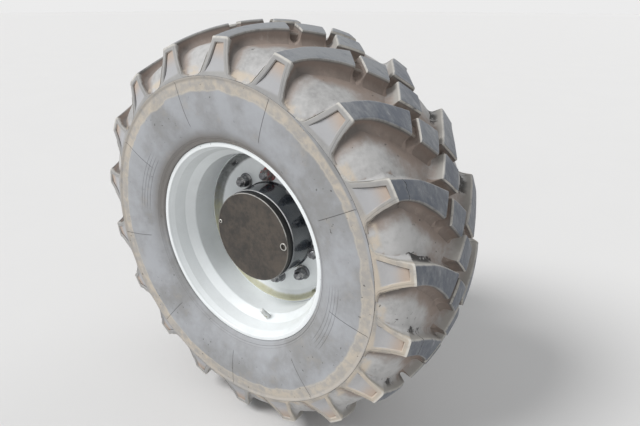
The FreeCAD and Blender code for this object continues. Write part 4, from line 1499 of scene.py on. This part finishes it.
@dataclass(frozen=True)
class Valve:
    """Valve that stands square on the slope between the rim's well and its lip."""

    angle: float = -78.0
    foot: Point = (0.2577, 0.1250)
    lean: float = 32.6
    length: float = 0.0420
    flats: float = 0.0160

    def build(self) -> None:
        """Nut, sleeve and cap, turned about the valve's own axis."""
        draft, placed = Draft(), Draft()
        nut = hexagon(self.flats)
        ring_skin(draft, [(0.0, 0.0), (nut, 0.0), (nut, 0.0052), (0.0078, 0.0060), (0.0078, 0.0210),
                          (0.0066, 0.0225), (0.0062, 0.0240), (0.0070, 0.0246),
                          (0.0070, self.length - 0.0030), (0.0052, self.length - 0.0006),
                          (0.0, self.length)], 24)
        out, lean = outward(self.angle), math.radians(self.lean)
        stand = -out * math.cos(lean) + FRONT * math.sin(lean)
        r, y = self.foot
        placed.place(draft, out * r + on_axle(-y), FRONT.cross(out), stand)
        Piece(ValvePaint(), ("valve_stem",)).settle(placed.build("valve_painted", 35))


@dataclass(frozen=True)
class Castings:
    """The knuckle, arm and joint keep their solids, with eased edges and their finishes."""

    ease: float = 0.0022
    ease_shaft: float = 0.0008
    ease_bolt: float = 0.0006
    sharp: float = 40.0

    def dress(self, node: str, finish: Finish, width: float) -> None:
        """Ease a node's edges and give it its finish."""
        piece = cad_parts[node]
        eased = piece.modifiers.new("eased", "BEVEL")
        eased.width = width
        eased.segments = 2
        eased.limit_method = "ANGLE"
        eased.angle_limit = math.radians(self.sharp)
        eased.harden_normals = False
        finish.dress(piece)
        LOG.info("%s: kept", node)

    def build(self) -> None:
        """All the nodes that keep their solids."""
        self.dress("axle_arm", ArmPaint(), self.ease)
        for node in ("knuckle", "steering_lever", "kingpins"):
            self.dress(node, CastingPaint(), self.ease)
        for node in ("half_shaft", "joint_cross", "spindle", "stub_yoke"):
            self.dress(node, BrightSteel(), self.ease_shaft)
        for node in ("plate_bolts", "kingpin_bolts", "stop_screws"):
            self.dress(node, NutSteel(), self.ease_bolt)


@dataclass(frozen=True)
class Studio:
    """Floor, soft light and the camera at the photograph's viewpoint."""

    eye: Spot = (0.9402, -1.6522, 0.6347)
    tilt: float = 22.502
    heading: float = 35.306
    lens: float = 28.41
    floor_size: float = 160.0
    soft_light: float = 0.44
    sky: Colour = (0.96, 0.98, 1.0)
    backdrop: Colour = srgb(236, 236, 236)
    # Name, way towards it, width in degrees and strength of each lamp
    suns: tuple[tuple[str, Spot, float, float], ...] = (("key", (-0.45, -0.62, 0.80), 26, 2.5),
                                                        ("fill", (0.20, -0.95, 0.22), 50, 0.45),
                                                        ("back", (0.35, 0.85, 0.45), 60, 0.6))

    def floor(self) -> None:
        """A wide pale floor under the tyre."""
        draft = Draft()
        places = [self.floor_size / 24 * n for n in range(-12, 13)]
        draft.skin([[draft.add((x, y, FLOOR_Z)) for x in places] for y in places])
        floor = draft.build("studio_floor")
        FloorStone().dress(floor)

    def sun(self, name: str, source: Sequence[float], wide: float, strength: float) -> None:
        """A very soft distant lamp that shines from a direction.

        Args:
            name: the lamp's name.
            source: the way towards it.
            wide: its width in the sky in degrees.
            strength: its light on a surface square to it.
        """
        data = bpy.data.lights.new(name, "SUN")
        data.angle = math.radians(wide)
        data.energy = strength
        made = bpy.data.objects.new(name, data)
        made.rotation_euler = Vector(source).to_track_quat("Z", "Y").to_euler()
        bpy.context.scene.collection.objects.link(made)

    def world(self) -> None:
        """Even soft light, with a pale backdrop for the camera, gloss and glass."""
        world = bpy.data.worlds.new("surroundings")
        bpy.context.scene.world = world
        world.use_nodes = True
        nodes, links = world.node_tree.nodes, world.node_tree.links
        soft, backdrop = nodes["Background"], nodes.new("ShaderNodeBackground")
        for shader, colour, strength in ((soft, self.sky, self.soft_light), (backdrop, self.backdrop, 1.0)):
            shader.inputs["Color"].default_value = (*colour, 1.0)
            shader.inputs["Strength"].default_value = strength
        path = nodes.new("ShaderNodeLightPath")
        seen = path.outputs["Is Camera Ray"]
        for name in ("Is Glossy Ray", "Is Transmission Ray"):
            either = nodes.new("ShaderNodeMath")
            either.operation = "MAXIMUM"
            links.new(seen, either.inputs[0])
            links.new(path.outputs[name], either.inputs[1])
            seen = either.outputs[0]
        mix = nodes.new("ShaderNodeMixShader")
        links.new(seen, mix.inputs["Fac"])
        links.new(soft.outputs[0], mix.inputs[1])
        links.new(backdrop.outputs[0], mix.inputs[2])
        links.new(mix.outputs[0], nodes["World Output"].inputs["Surface"])

    def camera(self) -> None:
        """The camera."""
        data = bpy.data.cameras.new("camera")
        data.sensor_fit = "HORIZONTAL"
        data.sensor_width = 36.0
        data.lens = self.lens
        made = bpy.data.objects.new("camera", data)
        made.location = self.eye
        made.rotation_euler = (math.radians(90 - self.tilt), 0, math.radians(self.heading))
        bpy.context.scene.collection.objects.link(made)
        bpy.context.scene.camera = made

    def build(self) -> None:
        """Floor, lamps, surroundings and camera."""
        self.floor()
        for sun in self.suns:
            self.sun(*sun)
        self.world()
        self.camera()
        bpy.context.scene.view_settings.view_transform = "Standard"


def main() -> None:
    """Build the sub-assemblies from the tyre inwards, then the studio."""
    logging.basicConfig(level=logging.INFO, format="%(message)s")
    for part in (Tyre(), Rim(), Disc(), Hub(), WheelBolts(), Valve(), Castings()):
        part.build()
        LOG.info("built %s", type(part).__name__)
    Studio().build()


if __name__ == "__main__":
    main()
